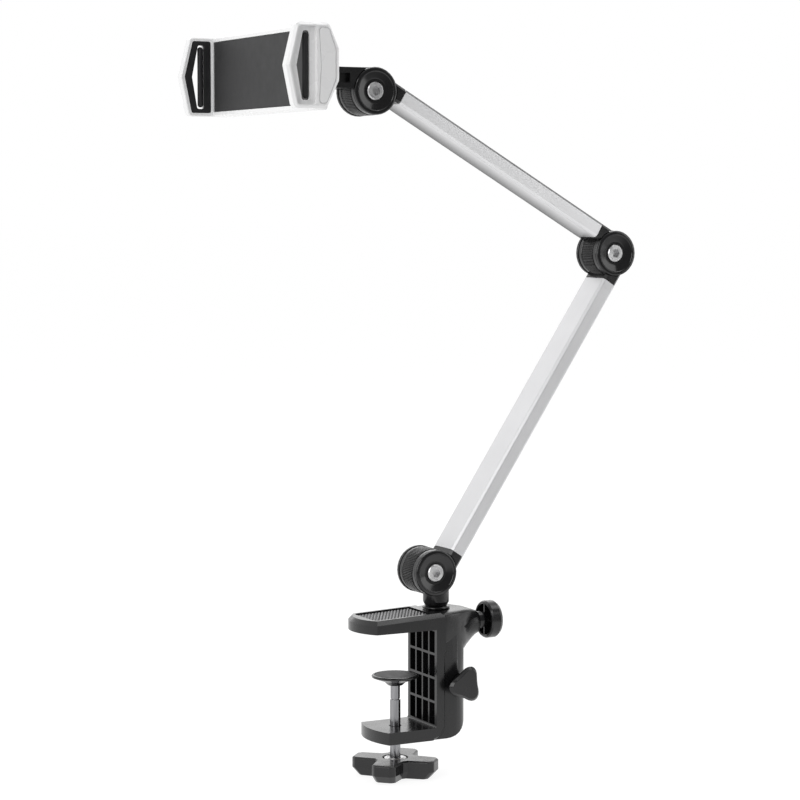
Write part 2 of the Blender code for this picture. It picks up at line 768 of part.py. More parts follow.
def make_side_knobs(paint):
    """The cross bolt through the spine with a three-lobed knob on each side of it."""
    half = CLAMP_WIDTH / 2 - SPINE_STEP
    bolt_end = half + 5.0 * MM
    place = PLANES["XZ"]
    outline = lobe_outline(KNOB_LOBE_RADIUS, 3, KNOB_LOBE_WAIST, phase=KNOB_LOBE_TURN)
    neck = circle((0.0, 0.0), 6.4 * MM, len(outline))
    for name, side in (("near", -1), ("far", 1)):
        turn = make_empty(name + "_knob_turn", (CROSS_AXIS[0], 0.0, CROSS_AXIS[1]))
        if name == "near":
            bolt = rod(CROSS_BOLT_RADIUS, -bolt_end, bolt_end)
            make_object("cross_bolt", bolt, paint["steel"], turn)
        seat = half - SPOT_FACE_DEPTH + GAP
        collar = half + 1.0 * MM
        levels = (
            (neck, 1.0, seat),
            (neck, 1.0, collar - 0.8 * MM),
            (outline, 0.62, collar + 0.4 * MM),
            (outline, 0.96, collar + 0.62 * KNOB_HEIGHT),
            (outline, 1.0, collar + 0.80 * KNOB_HEIGHT),
            (outline, 0.84, collar + KNOB_HEIGHT),
        )
        sections = [
            [place(a * scale, b * scale, side * level) for a, b in ring]
            for ring, scale, level in levels
        ]
        knob = make_object("side_knob_" + name, stack(sections), paint["black_plastic"], turn)
        low, high = sorted((side * (half - 10.0 * MM), side * (bolt_end + 0.4 * MM)))
        bore = rod(CROSS_BOLT_RADIUS + GAP, low, high)
        add_boolean(knob, make_helper(f"side_knob_{name}_bore", bore, turn))


# ---------------------------------------------------------------- drum joints


def disc(low, high):
    """A plain drum section with eased rims."""
    radius = DRUM_RADIUS - 0.2 * MM
    edge = 0.5 * MM
    profile = [
        (0.0, low),
        (radius - edge, low),
        (radius, low + edge),
        (radius, high - edge),
        (radius - edge, high),
        (0.0, high),
    ]
    return lathe(profile)


def ribbed_barrel(low, high):
    """The drum's middle, with fine grip ribs around it."""
    ribs = 30
    outline = []
    for i in range(ribs * 2):
        radius = DRUM_RADIUS - (0.15 * MM if i % 2 else 0.75 * MM)
        angle = math.pi * i / ribs
        outline.append((radius * math.cos(angle), radius * math.sin(angle)))
    return prism(outline, low, high, "XZ", chamfer_low=0.4 * MM, chamfer_high=0.4 * MM)


def end_block():
    """The full-width block between a tube and its drum, drawn along +X from the joint's axis."""
    inset = 0.15 * MM
    half = ARM_WIDTH / 2 - inset
    section = chamfered_section(ARM_NEAR_LINE - inset, ARM_FAR_LINE + inset, half, ARM_CHAMFER)
    return prism(section, 3.0 * MM, ARM_SETBACK - GAP, "YZ")


def chamfered_section(z_high, z_low, half, cut):
    return [
        (-half + cut, z_low), (half - cut, z_low), (half, z_low + cut), (half, z_high - cut),
        (half - cut, z_high), (-half + cut, z_high), (-half, z_high - cut), (-half, z_low + cut),
    ]


def plug():
    """The spigot of an end fitting that sits inside the tube."""
    wall = ARM_WALL + GAP
    section = chamfered_section(
        ARM_NEAR_LINE - wall, ARM_FAR_LINE + wall, ARM_WIDTH / 2 - wall, ARM_CHAMFER - 0.5 * MM,
    )
    return prism(section, ARM_SETBACK - 1.5 * MM, ARM_SETBACK + PLUG_LENGTH, "YZ")


def make_fork(name, parent, paint):
    """An end fitting with two cheeks: the block, with a slot for the other part's barrel."""
    fork = make_object(name, end_block(), paint["black_plastic"], parent)
    added = {"plug": plug(), "near_cheek": disc(*NEAR_CHEEK), "far_cheek": disc(*FAR_CHEEK)}
    for label, builder in added.items():
        add_boolean(fork, make_helper(f"{name}_{label}", builder, parent), "UNION")
    head = BOLT_HEAD_DIAMETER / 2 + GAP
    cutters = {
        "slot": rod(CROWN_CLEARANCE, NEAR_CHEEK[1], FAR_CHEEK[0], segments=SEGMENTS),
        "near_face": rod(SWEEP_RADIUS, -FAR_OUT, NEAR_CHEEK[0], segments=SEGMENTS),
        "far_face": rod(KNOB_SWEEP_RADIUS, FAR_CHEEK[1], FAR_OUT, segments=SEGMENTS),
        "counterbore": rod(head, -FAR_OUT, BOLT_SHOULDER + GAP),
        "bore": rod(BOLT_DIAMETER / 2 + GAP, -FAR_OUT, FAR_OUT),
    }
    for label, builder in cutters.items():
        add_boolean(fork, make_helper(f"{name}_{label}", builder, parent))


def barrel_cuts(target, name, parent):
    """The bolt hole and the near washer's recess in a barrel."""
    cutters = {
        "bore": rod(BOLT_DIAMETER / 2 + GAP, -FAR_OUT, FAR_OUT),
        "recess": rod(12.3 * MM, BARREL[0] - 1.0 * MM, BARREL[0] + 0.7 * MM, segments=SEGMENTS),
    }
    for label, builder in cutters.items():
        add_boolean(target, make_helper(f"{name}_{label}", builder, parent))


def keep_out_of_cheeks():
    """The room that a fork's cheeks, cover and knob sweep on both sides of a barrel."""
    near = rod(SWEEP_RADIUS, -FAR_OUT, BARREL[0], segments=SEGMENTS)
    far = rod(KNOB_SWEEP_RADIUS, BARREL[1], FAR_OUT, segments=SEGMENTS)
    return merge([near, far])


def make_tongue(name, parent, paint):
    """An end fitting with one wide barrel in the middle."""
    tongue = make_object(name, end_block(), paint["black_plastic"], parent)
    add_boolean(tongue, make_helper(name + "_sweep", keep_out_of_cheeks(), parent))
    add_boolean(tongue, make_helper(name + "_plug", plug(), parent), "UNION")
    add_boolean(tongue, make_helper(name + "_barrel", ribbed_barrel(*BARREL), parent), "UNION")
    barrel_cuts(tongue, name, parent)


def cover_profile(seat):
    """The dished near cover: rounded rim, flat ring, shallow dish and a well round the bolt head."""
    ring = DRUM_RADIUS - 2.75 * MM
    well = BOLT_HEAD_DIAMETER / 2 + 2.8 * MM
    return [
        (seat, DISH_BACK),
        (DRUM_RADIUS - 0.4 * MM, DISH_BACK),
        (DRUM_RADIUS, DISH_BACK - 0.4 * MM),
        (DRUM_RADIUS, DISH_FRONT + 1.2 * MM),
        (DRUM_RADIUS - 0.4 * MM, DISH_FRONT + 0.4 * MM),
        (DRUM_RADIUS - 1.2 * MM, DISH_FRONT),
        (ring, DISH_FRONT),
        (ring - 0.5 * MM, DISH_FRONT + 0.6 * MM),
        (well, DISH_FRONT + 1.8 * MM),
        (well - 0.5 * MM, DISH_FRONT + 2.2 * MM),
        (seat, DISH_FRONT + 2.2 * MM),
    ]


def knob_profile(bore):
    """The round tension knob at the back of a joint, with a blind bore for the bolt's tail."""
    low, high = REAR_KNOB
    rim = DRUM_RADIUS + 0.4 * MM
    return [
        (0.0, high),
        (rim - 3.4 * MM, high),
        (rim - 1.0 * MM, high - 0.5 * MM),
        (rim, high - 1.3 * MM),
        (rim, low + 0.4 * MM),
        (rim - 0.4 * MM, low),
        (bore, low),
        (bore, BOLT_TAIL + GAP),
        (0.0, BOLT_TAIL + GAP),
    ]


def washer(inner, outer, low):
    high = low + WASHER_THICKNESS
    return lathe([(inner, low), (outer, low), (outer, high), (inner, high)])


def make_joint_hardware(name, fork_empty, knob_empty, paint):
    """Cover, bolt, two washers and rear knob of one drum joint, all centred on its axis."""
    head = BOLT_HEAD_DIAMETER / 2
    shank = BOLT_DIAMETER / 2
    bore = shank + GAP
    cover = lathe(cover_profile(head + 0.5 * MM), segments=32)
    make_object(name + "_cover", cover, paint["black_plastic"], fork_empty)
    bolt_profile = [
        (0.0, BOLT_HEAD_FRONT),
        (head - 0.8 * MM, BOLT_HEAD_FRONT),
        (head, BOLT_HEAD_FRONT + 0.8 * MM),
        (head, BOLT_SHOULDER),
        (shank, BOLT_SHOULDER),
        (shank, BOLT_TAIL),
        (0.0, BOLT_TAIL),
    ]
    bolt = make_object(name + "_bolt", lathe(bolt_profile, segments=24), paint["steel"], fork_empty)
    socket = hex_cutter(6.0 * MM, BOLT_HEAD_FRONT - 1.0 * MM, BOLT_HEAD_FRONT + 3.2 * MM, "XZ")
    add_boolean(bolt, make_helper(name + "_socket", socket, fork_empty))
    near = washer(bore, 12.0 * MM, BARREL[0])
    make_object(name + "_washer_near", near, paint["steel"], fork_empty)
    far = washer(bore, 15.6 * MM, BARREL[1] + 0.15 * MM)
    make_object(name + "_washer_far", far, paint["rubber"], fork_empty)
    knob = lathe(knob_profile(bore), segments=32)
    make_object(name + "_knob", knob, paint["black_plastic"], knob_empty)


# ---------------------------------------------------------------- arms and post


def make_post(parent, paint):
    """The swivel post: stud, turned neck and the barrel of the base joint, drawn about the stud."""
    stud = STUD_DIAMETER / 2
    radius = POST_DIAMETER / 2
    neck_top = BASE_AXIS.z - 8.0 * MM
    profile = [
        (0.0, STUD_BOTTOM),
        (stud - 0.8 * MM, STUD_BOTTOM),
        (stud, STUD_BOTTOM + 0.8 * MM),
        (stud, POST_FOOT),
        (radius - 1.6 * MM, POST_FOOT),
        (radius, POST_FOOT + 3.0 * MM),
        (radius, neck_top),
        (0.0, neck_top),
    ]
    post = make_object("swivel_post", lathe(profile, "Z"), paint["black_plastic"], parent)
    at_axis = make_empty("base_barrel_place", (BASE_AXIS.x - POST_X, 0.0, BASE_AXIS.z), parent)
    add_boolean(post, make_helper("post_sweep", keep_out_of_cheeks(), at_axis))
    add_boolean(post, make_helper("post_barrel", ribbed_barrel(*BARREL), at_axis), "UNION")
    barrel_cuts(post, "post", at_axis)


def make_tube(name, length, parent, paint):
    """A straight tube with chamfered corners between the two end fittings of an arm."""
    outer = chamfered_section(ARM_NEAR_LINE, ARM_FAR_LINE, ARM_WIDTH / 2, ARM_CHAMFER)
    inner = chamfered_section(
        ARM_NEAR_LINE - ARM_WALL,
        ARM_FAR_LINE + ARM_WALL,
        ARM_WIDTH / 2 - ARM_WALL,
        ARM_CHAMFER - 0.5 * MM,
    )
    start = ARM_SETBACK
    end = length - ARM_SETBACK
    place = PLANES["YZ"]
    ends = ((outer, start), (outer, end), (inner, end), (inner, start))
    rings = [[place(a, b, x) for a, b in section] for section, x in ends]
    make_object(name, stack(rings, closed_ends=False), paint["aluminium"], parent)


def mirrored_fork(name, length, parent, paint):
    """A fork for the far end of an arm: the same fitting, mirrored along the arm."""
    place = make_empty(name + "_place", (length, 0.0, 0.0), parent)
    place.scale = (-1.0, 1.0, 1.0)
    make_fork(name, place, paint)


def make_arms(paint):
    """The post and the two arms, each hung from the joint before it. Returns the head joint."""
    post_turn = make_empty("post_turn", (POST_X, 0.0, 0.0))
    make_post(post_turn, paint)
    base_place = (BASE_AXIS.x - POST_X, 0.0, BASE_AXIS.z)
    base = make_empty("base_tilt", base_place, post_turn, -LOWER_ARM_ANGLE)
    make_fork("lower_arm_base_fork", base, paint)
    make_tube("lower_arm_tube", LOWER_ARM_LENGTH, base, paint)
    mirrored_fork("lower_arm_elbow_fork", LOWER_ARM_LENGTH, base, paint)
    base_knob = make_empty("base_knob_turn", (0.0, 0.0, 0.0), base)
    make_joint_hardware("base_joint", base, base_knob, paint)
    elbow_at = (LOWER_ARM_LENGTH, 0.0, 0.0)
    elbow_place = make_empty("elbow_place", elbow_at, base)
    elbow_knob = make_empty("elbow_knob_turn", (0.0, 0.0, 0.0), elbow_place)
    make_joint_hardware("elbow_joint", elbow_place, elbow_knob, paint)
    elbow = make_empty("elbow_tilt", elbow_at, base, LOWER_ARM_ANGLE - UPPER_ARM_ANGLE)
    make_tongue("upper_arm_elbow_tongue", elbow, paint)
    make_tube("upper_arm_tube", UPPER_ARM_LENGTH, elbow, paint)
    mirrored_fork("upper_arm_head_fork", UPPER_ARM_LENGTH, elbow, paint)
    head_at = (UPPER_ARM_LENGTH, 0.0, 0.0)
    head_place = make_empty("head_place", head_at, elbow)
    head_knob = make_empty("head_knob_turn", (0.0, 0.0, 0.0), head_place)
    make_joint_hardware("head_joint", head_place, head_knob, paint)
    return make_empty("head_tilt", head_at, elbow, UPPER_ARM_ANGLE)


# ---------------------------------------------------------------- cradle


def make_bracket(head, paint):
    """The block and barrel of the head joint, with the spigot that the cradle turns on."""
    half = BRACKET_WIDTH / 2
    low = SPIN_RISE - BRACKET_HEIGHT / 2
    high = SPIN_RISE + BRACKET_HEIGHT / 2
    block = prism(rectangle(-half, half, low, high), BRACKET_END, -4.0 * MM, "YZ")
    bracket = make_object("tilt_bracket", block, paint["black_plastic"], head)
    add_boolean(bracket, make_helper("bracket_sweep", keep_out_of_cheeks(), head))
    add_boolean(bracket, make_helper("bracket_barrel", ribbed_barrel(*BARREL), head), "UNION")
    barrel_cuts(bracket, "bracket", head)
    pocket = rectangle(-33.0 * MM, -20.5 * MM, SPIN_RISE - 3.6 * MM, SPIN_RISE + 3.2 * MM)
    depth = 4.0 * MM
    for side in (-1, 1):
        ends = sorted((side * (half - depth), side * (half + 1.0 * MM)))
        cutter = make_helper(f"bracket_pocket_{side}", prism(pocket, *ends, "XZ"), head)
        add_boolean(bracket, cutter)
    spigot = [
        (0.0, SPIGOT_END),
        (4.0 * MM, SPIGOT_END),
        (4.0 * MM, SPIGOT_END + SPIN_FLANGE[0]),
        (9.0 * MM, SPIGOT_END + SPIN_FLANGE[0]),
        (9.0 * MM, SPIGOT_END + SPIN_FLANGE[1]),
        (5.0 * MM, SPIGOT_END + SPIN_FLANGE[1]),
        (5.0 * MM, BRACKET_END + 1.0 * MM),
        (0.0, BRACKET_END + 1.0 * MM),
    ]
    shape = lathe(spigot, "X", (0.0, SPIN_RISE), 32)
    add_boolean(bracket, make_helper("bracket_spigot", shape, head), "UNION")


def jaw_profile():
    """The side view of a cradle jaw, in X and Z: pointed in front and flat behind."""
    middle = CRADLE_RISE
    half = TRAY_HEIGHT / 2 - 0.6 * MM
    corners = [
        (JAW_FRONT, middle, 2.5 * MM),
        (JAW_FRONT + 6.0 * MM, middle - half, 3.5 * MM),
        (JAW_BACK - 9.5 * MM, middle - half, 4.0 * MM),
        (JAW_BACK, middle - 9.5 * MM, 4.0 * MM),
        (JAW_BACK, middle + 11.5 * MM, 4.0 * MM),
        (JAW_BACK - 7.5 * MM, middle + half, 4.0 * MM),
        (JAW_FRONT + 7.2 * MM, middle + half, 3.5 * MM),
    ]
    return rounded(corners, 3)


def pointed_profile(front, back, half, lean_low, lean_high, radius):
    """A slot-like side view in X and Z, pointed in front by its two leans."""
    middle = CRADLE_RISE
    corners = [
        (front, middle, radius),
        (front + lean_low, middle - half, radius),
        (back, middle - half, radius),
        (back, middle + half, radius),
        (front + lean_high, middle + half, radius),
    ]
    return rounded(corners, 2)


def window_profile():
    """The pointed slot through a jaw and its rubber."""
    front = JAW_FRONT + 8.6 * MM
    back = JAW_FRONT + 18.4 * MM
    return pointed_profile(front, back, WINDOW_HALF, 4.0 * MM, 4.8 * MM, 1.4 * MM)


def recess_profile():
    """The sunken field round the slot on the outside of a jaw."""
    front = JAW_FRONT + 2.8 * MM
    back = JAW_FRONT + 22.4 * MM
    return pointed_profile(front, back, GRIP_HALF, 5.2 * MM, 6.2 * MM, 2.0 * MM)


def grip_profile(inset=0.0):
    """The rubber on the inside of a jaw."""
    front = JAW_FRONT + 2.8 * MM
    back = TRAY_FACE - 1.6 * MM
    outline = pointed_profile(front, back, GRIP_HALF, 5.4 * MM, 6.4 * MM, 1.4 * MM)
    return shrink(outline, inset)


def rounded_rectangle(half_a, half_b, radius, steps=3):
    """A rounded rectangle about the cradle's middle height, in Y and Z."""
    middle = CRADLE_RISE
    corners = [
        (-half_a, middle - half_b, radius),
        (half_a, middle - half_b, radius),
        (half_a, middle + half_b, radius),
        (-half_a, middle + half_b, radius),
    ]
    return rounded(corners, steps)


def make_tray(cradle, paint):
    """The front frame of the cradle with its silicone pad, and the cover behind it."""
    half = TRAY_LENGTH / 2 - GAP
    height = TRAY_HEIGHT / 2
    middle = CRADLE_RISE
    pad_half = half - 1.9 * MM
    pad_height = 25.0 * MM
    outline = rounded_rectangle(half, height, 2.5 * MM)
    shape = prism(outline, TRAY_FACE - 0.8 * MM, TRAY_BACK, "YZ", chamfer_low=1.2 * MM)
    frame = make_object("tray_frame", shape, paint["white_plastic"], cradle)
    seat = rectangle(
        -pad_half - GAP, pad_half + GAP, middle - pad_height - GAP, middle + pad_height + GAP
    )
    seat_cutter = prism(seat, TRAY_FACE - 5.0 * MM, TRAY_FACE + 1.5 * MM, "YZ")
    add_boolean(frame, make_helper("tray_pad_seat", seat_cutter, cradle))
    hollow = rectangle(-half - 5.0 * MM, half + 5.0 * MM, middle - 22.0 * MM, middle + 22.0 * MM)
    hollow_cutter = prism(hollow, TRAY_FACE + TRAY_WEB, TRAY_BACK + 5.0 * MM, "YZ")
    add_boolean(frame, make_helper("tray_hollow", hollow_cutter, cradle))
    pad = rectangle(-pad_half, pad_half, middle - pad_height, middle + pad_height)
    pad_shape = prism(pad, TRAY_FACE, TRAY_FACE + 1.2 * MM, "YZ")
    make_object("tray_pad", pad_shape, paint["silicone"], cradle)
    cover_outline = rounded_rectangle(COVER_HALF, height - 1.5 * MM, 10.0 * MM, 4)
    cover_shape = prism(cover_outline, TRAY_BACK + GAP, COVER_BACK, "YZ", chamfer_high=2.5 * MM)
    cover = make_object("tray_back_cover", cover_shape, paint["white_plastic"], cradle)
    add_socket(cover, cradle)


def add_socket(cover, cradle):
    """The round socket on the cover's back that the bracket's spigot turns in."""
    top = COVER_BACK + SOCKET_RISE
    socket = [
        (0.0, TRAY_BACK + 1.0 * MM),
        (SOCKET_RADIUS, TRAY_BACK + 1.0 * MM),
        (SOCKET_RADIUS, top - 0.6 * MM),
        (SOCKET_RADIUS - 0.6 * MM, top),
        (0.0, top),
    ]
    shape = lathe(socket, "X", (0.0, SPIN_RISE))
    add_boolean(cover, make_helper("cover_socket", shape, cradle), "UNION")
    bore = [
        (0.0, SPIGOT_END - 0.5 * MM),
        (4.4 * MM, SPIGOT_END - 0.5 * MM),
        (4.4 * MM, SPIGOT_END + SPIN_FLANGE[0] - 0.6 * MM),
        (9.5 * MM, SPIGOT_END + SPIN_FLANGE[0] - 0.6 * MM),
        (9.5 * MM, COVER_BACK + 20.0 * MM),
        (0.0, COVER_BACK + 20.0 * MM),
    ]
    cutter = lathe(bore, "X", (0.0, SPIN_RISE))
    add_boolean(cover, make_helper("cover_socket_bore", cutter, cradle))


def make_spin_ring(cradle, paint):
    """The ring that traps the spigot's flange in the cover's socket."""
    ring_turn = make_empty("spin_ring_turn", (0.0, 0.0, 0.0), cradle)
    low = COVER_BACK + 1.0 * MM
    high = COVER_BACK + 13.0 * MM
    inner = SOCKET_RADIUS + GAP
    outer = 16.0 * MM
    lip = COVER_BACK + SOCKET_RISE + GAP
    profile = [
        (inner, low),
        (outer - 0.6 * MM, low),
        (outer, low + 0.6 * MM),
        (outer, high - 1.2 * MM),
        (outer - 1.2 * MM, high),
        (6.2 * MM, high),
        (6.2 * MM, lip),
        (inner, lip),
    ]
    ring = lathe(profile, "X", (0.0, SPIN_RISE))
    make_object("spin_lock_ring", ring, paint["black_plastic"], ring_turn)


def make_jaw(name, side, cradle, paint):
    """One sprung jaw: white shell and rubber grip. Returns the empty that it slides with."""
    slide = make_empty(name + "_slide", (0.0, 0.0, 0.0), cradle)
    inner = side * TRAY_LENGTH / 2
    low, high = sorted((inner, inner + side * JAW_THICKNESS))
    outer_cut = 1.6 * MM
    inner_cut = 0.6 * MM
    cuts = (outer_cut, inner_cut) if side < 0 else (inner_cut, outer_cut)
    shape = prism(jaw_profile(), low, high, "XZ", *cuts)
    shell = make_object(name + "_shell", shape, paint["white_plastic"], slide)
    seat_ends = sorted((inner - side * 5.0 * MM, inner + side * 2.3 * MM))
    seat = prism(grip_profile(), *seat_ends, "XZ")
    add_boolean(shell, make_helper(name + "_grip_seat", seat, slide))
    window = prism(window_profile(), -TRAY_LENGTH, TRAY_LENGTH, "XZ")
    window_cutter = make_helper(name + "_window", window, slide)
    add_boolean(shell, window_cutter)
    outer = inner + side * JAW_THICKNESS
    recess_ends = sorted((outer - side * JAW_RECESS, outer + side * 5.0 * MM))
    recess = prism(recess_profile(), *recess_ends, "XZ")
    add_boolean(shell, make_helper(name + "_recess", recess, slide))
    grip_ends = sorted((inner, inner + side * 2.0 * MM))
    grip_shape = prism(grip_profile(GAP), *grip_ends, "XZ")
    grip = make_object(name + "_grip", grip_shape, paint["rubber"], slide)
    add_boolean(grip, window_cutter)
    return slide


def rack_outline(side):
    """A rack in Y and Z, with its teeth towards the pinion in the middle."""
    middle = CRADLE_RISE
    pitch = math.pi * PINION_PITCH_RADIUS * 2 / PINION_TEETH
    half_tooth = pitch * 0.205
    flank = 0.28 * MM
    line = middle - side * (PINION_PITCH_RADIUS - 0.05 * MM)
    root = line - side * 1.15 * MM
    tip = line + side * 0.75 * MM
    back = line - side * 7.0 * MM
    start = side * TRAY_LENGTH / 2
    end = -side * 16.0 * MM
    outline = [(start, back), (end, back), (end, root)]
    count = int((TRAY_LENGTH / 2 - 30.0 * MM) / pitch)
    for index in range(count):
        centre = side * pitch * (index - 3.5)
        outline += [
            (centre - side * (half_tooth + flank), root),
            (centre - side * (half_tooth - flank), tip),
            (centre + side * (half_tooth - flank), tip),
            (centre + side * (half_tooth + flank), root),
        ]
    return outline + [(start, root)]


def pinion_outline():
    """The pinion's teeth, each a short trapezoid on a round core."""
    pitch_angle = 2 * math.pi / PINION_TEETH
    root = PINION_PITCH_RADIUS - 1.2 * MM
    tip = PINION_PITCH_RADIUS + 0.6 * MM
    outline = []
    for index in range(PINION_TEETH):
        for offset, radius in ((-0.27, root), (-0.14, tip), (0.14, tip), (0.27, root)):
            angle = (index + offset) * pitch_angle
            outline.append((radius * math.cos(angle), radius * math.sin(angle)))
    return outline


def make_drive(cradle, slides, paint):
    """The racks on the two jaws and the pinion that keeps them in step."""
    for name, side in JAWS:
        rack = prism(rack_outline(side), *RACK, "YZ")
        make_object(name + "_rack", rack, paint["black_plastic"], slides[name])
    turn = make_empty("pinion_turn", (0.0, 0.0, CRADLE_RISE), cradle)
    gear = prism(pinion_outline(), RACK[0] + 0.2 * MM, RACK[1] - 0.2 * MM, "YZ")
    pinion = make_object("pinion", gear, paint["white_plastic"], turn)
    bore = rod(PIN_DIAMETER / 2 + GAP, TRAY_FACE, TRAY_BACK + 5.0 * MM, "X", segments=20)
    add_boolean(pinion, make_helper("pinion_bore", bore, turn))
    ends = (TRAY_FACE + TRAY_WEB + 0.2 * MM, TRAY_BACK - 0.2 * MM)
    pin = rod(PIN_DIAMETER / 2, *ends, "X", (0.0, CRADLE_RISE), 20)
    make_object("pinion_pin", pin, paint["steel"], cradle)


def make_springs(cradle, paint):
    """Two closing springs that lie in the tray, each beside a rack."""
    turns = 10
    per_turn = 6
    count = turns * per_turn + 1
    centre_x = sum(RACK) / 2
    for name, side in JAWS:
        spring = bpy.data.curves.new(name + "_spring", "CURVE")
        spring.dimensions = "3D"
        spring.bevel_depth = SPRING_WIRE_RADIUS
        spring.bevel_resolution = 0
        spring.use_fill_caps = True
        line = spring.splines.new("POLY")
        line.points.add(count - 1)
        start = side * 22.0 * MM
        length = side * 46.0 * MM
        centre_z = CRADLE_RISE + side * 17.5 * MM
        for index in range(count):
            angle = 2 * math.pi * index / per_turn
            line.points[index].co = (
                centre_x + SPRING_COIL_RADIUS * math.cos(angle),
                start + length * index / (count - 1),
                centre_z + SPRING_COIL_RADIUS * math.sin(angle),
                1.0,
            )
        spring.materials.append(paint["steel"])
        made = bpy.data.objects.new(name + "_spring", spring)
        bpy.context.scene.collection.objects.link(made)
        made.parent = cradle


def make_cradle(head, paint):
    cradle = make_empty("cradle_spin", (0.0, 0.0, 0.0), head)
    make_tray(cradle, paint)
    make_spin_ring(cradle, paint)
    slides = {name: make_jaw(name, side, cradle, paint) for name, side in JAWS}
    make_drive(cradle, slides, paint)
    make_springs(cradle, paint)


def main():
    clear_scene()
    paint = make_materials()
    make_clamp(paint)
    make_clamp_fittings(paint)
    make_screw(paint)
    make_lock_screw(paint)
    make_side_knobs(paint)
    head = make_arms(paint)
    make_bracket(head, paint)
    make_cradle(head, paint)


main()
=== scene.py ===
"""Looks of the clamp-on phone stand: every CAD node is refined or rebuilt in detail, with
procedural materials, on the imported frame.

Metres, +Z up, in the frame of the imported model. Places on the stand are taken from the frame's
joints and nodes; only the lights and the camera have places of their own.
"""

import json
import math

import bmesh
import bpy
from mathutils import Matrix, Vector

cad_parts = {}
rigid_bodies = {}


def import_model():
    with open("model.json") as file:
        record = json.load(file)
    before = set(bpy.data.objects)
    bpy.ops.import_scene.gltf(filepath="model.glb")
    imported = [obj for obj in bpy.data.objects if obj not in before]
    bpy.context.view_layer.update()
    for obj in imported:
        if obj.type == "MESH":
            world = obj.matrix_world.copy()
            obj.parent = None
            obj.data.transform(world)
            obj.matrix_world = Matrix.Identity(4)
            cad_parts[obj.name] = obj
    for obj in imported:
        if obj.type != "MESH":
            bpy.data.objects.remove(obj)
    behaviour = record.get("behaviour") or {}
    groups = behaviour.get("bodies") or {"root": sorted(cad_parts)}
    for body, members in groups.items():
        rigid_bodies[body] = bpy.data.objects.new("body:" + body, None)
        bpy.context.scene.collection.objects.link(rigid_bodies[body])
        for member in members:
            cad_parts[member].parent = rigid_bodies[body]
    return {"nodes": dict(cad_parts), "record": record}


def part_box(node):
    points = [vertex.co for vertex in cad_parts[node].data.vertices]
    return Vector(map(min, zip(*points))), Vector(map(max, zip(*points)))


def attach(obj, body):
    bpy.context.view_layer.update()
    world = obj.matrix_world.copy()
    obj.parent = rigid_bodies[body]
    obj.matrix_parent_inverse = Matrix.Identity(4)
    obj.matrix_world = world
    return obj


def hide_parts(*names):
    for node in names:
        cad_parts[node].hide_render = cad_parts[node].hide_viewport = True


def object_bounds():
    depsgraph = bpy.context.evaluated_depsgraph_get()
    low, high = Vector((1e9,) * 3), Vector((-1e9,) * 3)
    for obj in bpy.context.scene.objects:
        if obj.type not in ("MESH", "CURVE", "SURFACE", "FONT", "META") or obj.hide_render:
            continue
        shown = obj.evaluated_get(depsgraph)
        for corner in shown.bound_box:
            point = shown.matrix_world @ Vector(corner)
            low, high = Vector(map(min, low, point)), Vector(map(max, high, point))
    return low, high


MM = 0.001
NOISE_LOW = 0.3  # nearly all noise values lie between these two
NOISE_HIGH = 0.7
NOISE_ROUGHNESS = 0.55
GRAIN_DEPTH = 0.1 * MM
WAVE_TURN_PER_UNIT = 20.0  # radians of a wave texture per unit of length, at scale 1
SPARE = 0.3 * MM  # how far a cutting shape reaches beyond the face it cuts


def as_lists(corners):
    return [[round(value, 6) for value in corner] for corner in corners]


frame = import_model()
cad_bounds = as_lists(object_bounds())

RECORD = frame["record"]
BODY_OF = {
    node: body for body, nodes in RECORD["behaviour"]["bodies"].items() for node in nodes
}
SLOT_OF = {row["node"]: row["material_slot"] for row in RECORD["subparts"]}
AXIS_AT = {
    joint["name"]: Vector(joint["pos_m"])
    for joint in RECORD["behaviour"]["joints"]
    if "pos_m" in joint
}


def rise_between(first, second):
    """The angle above level of the line from one joint to another."""
    run = AXIS_AT[second] - AXIS_AT[first]
    return math.atan2(run.z, run.x)


# ---------------------------------------------------------------- node helpers


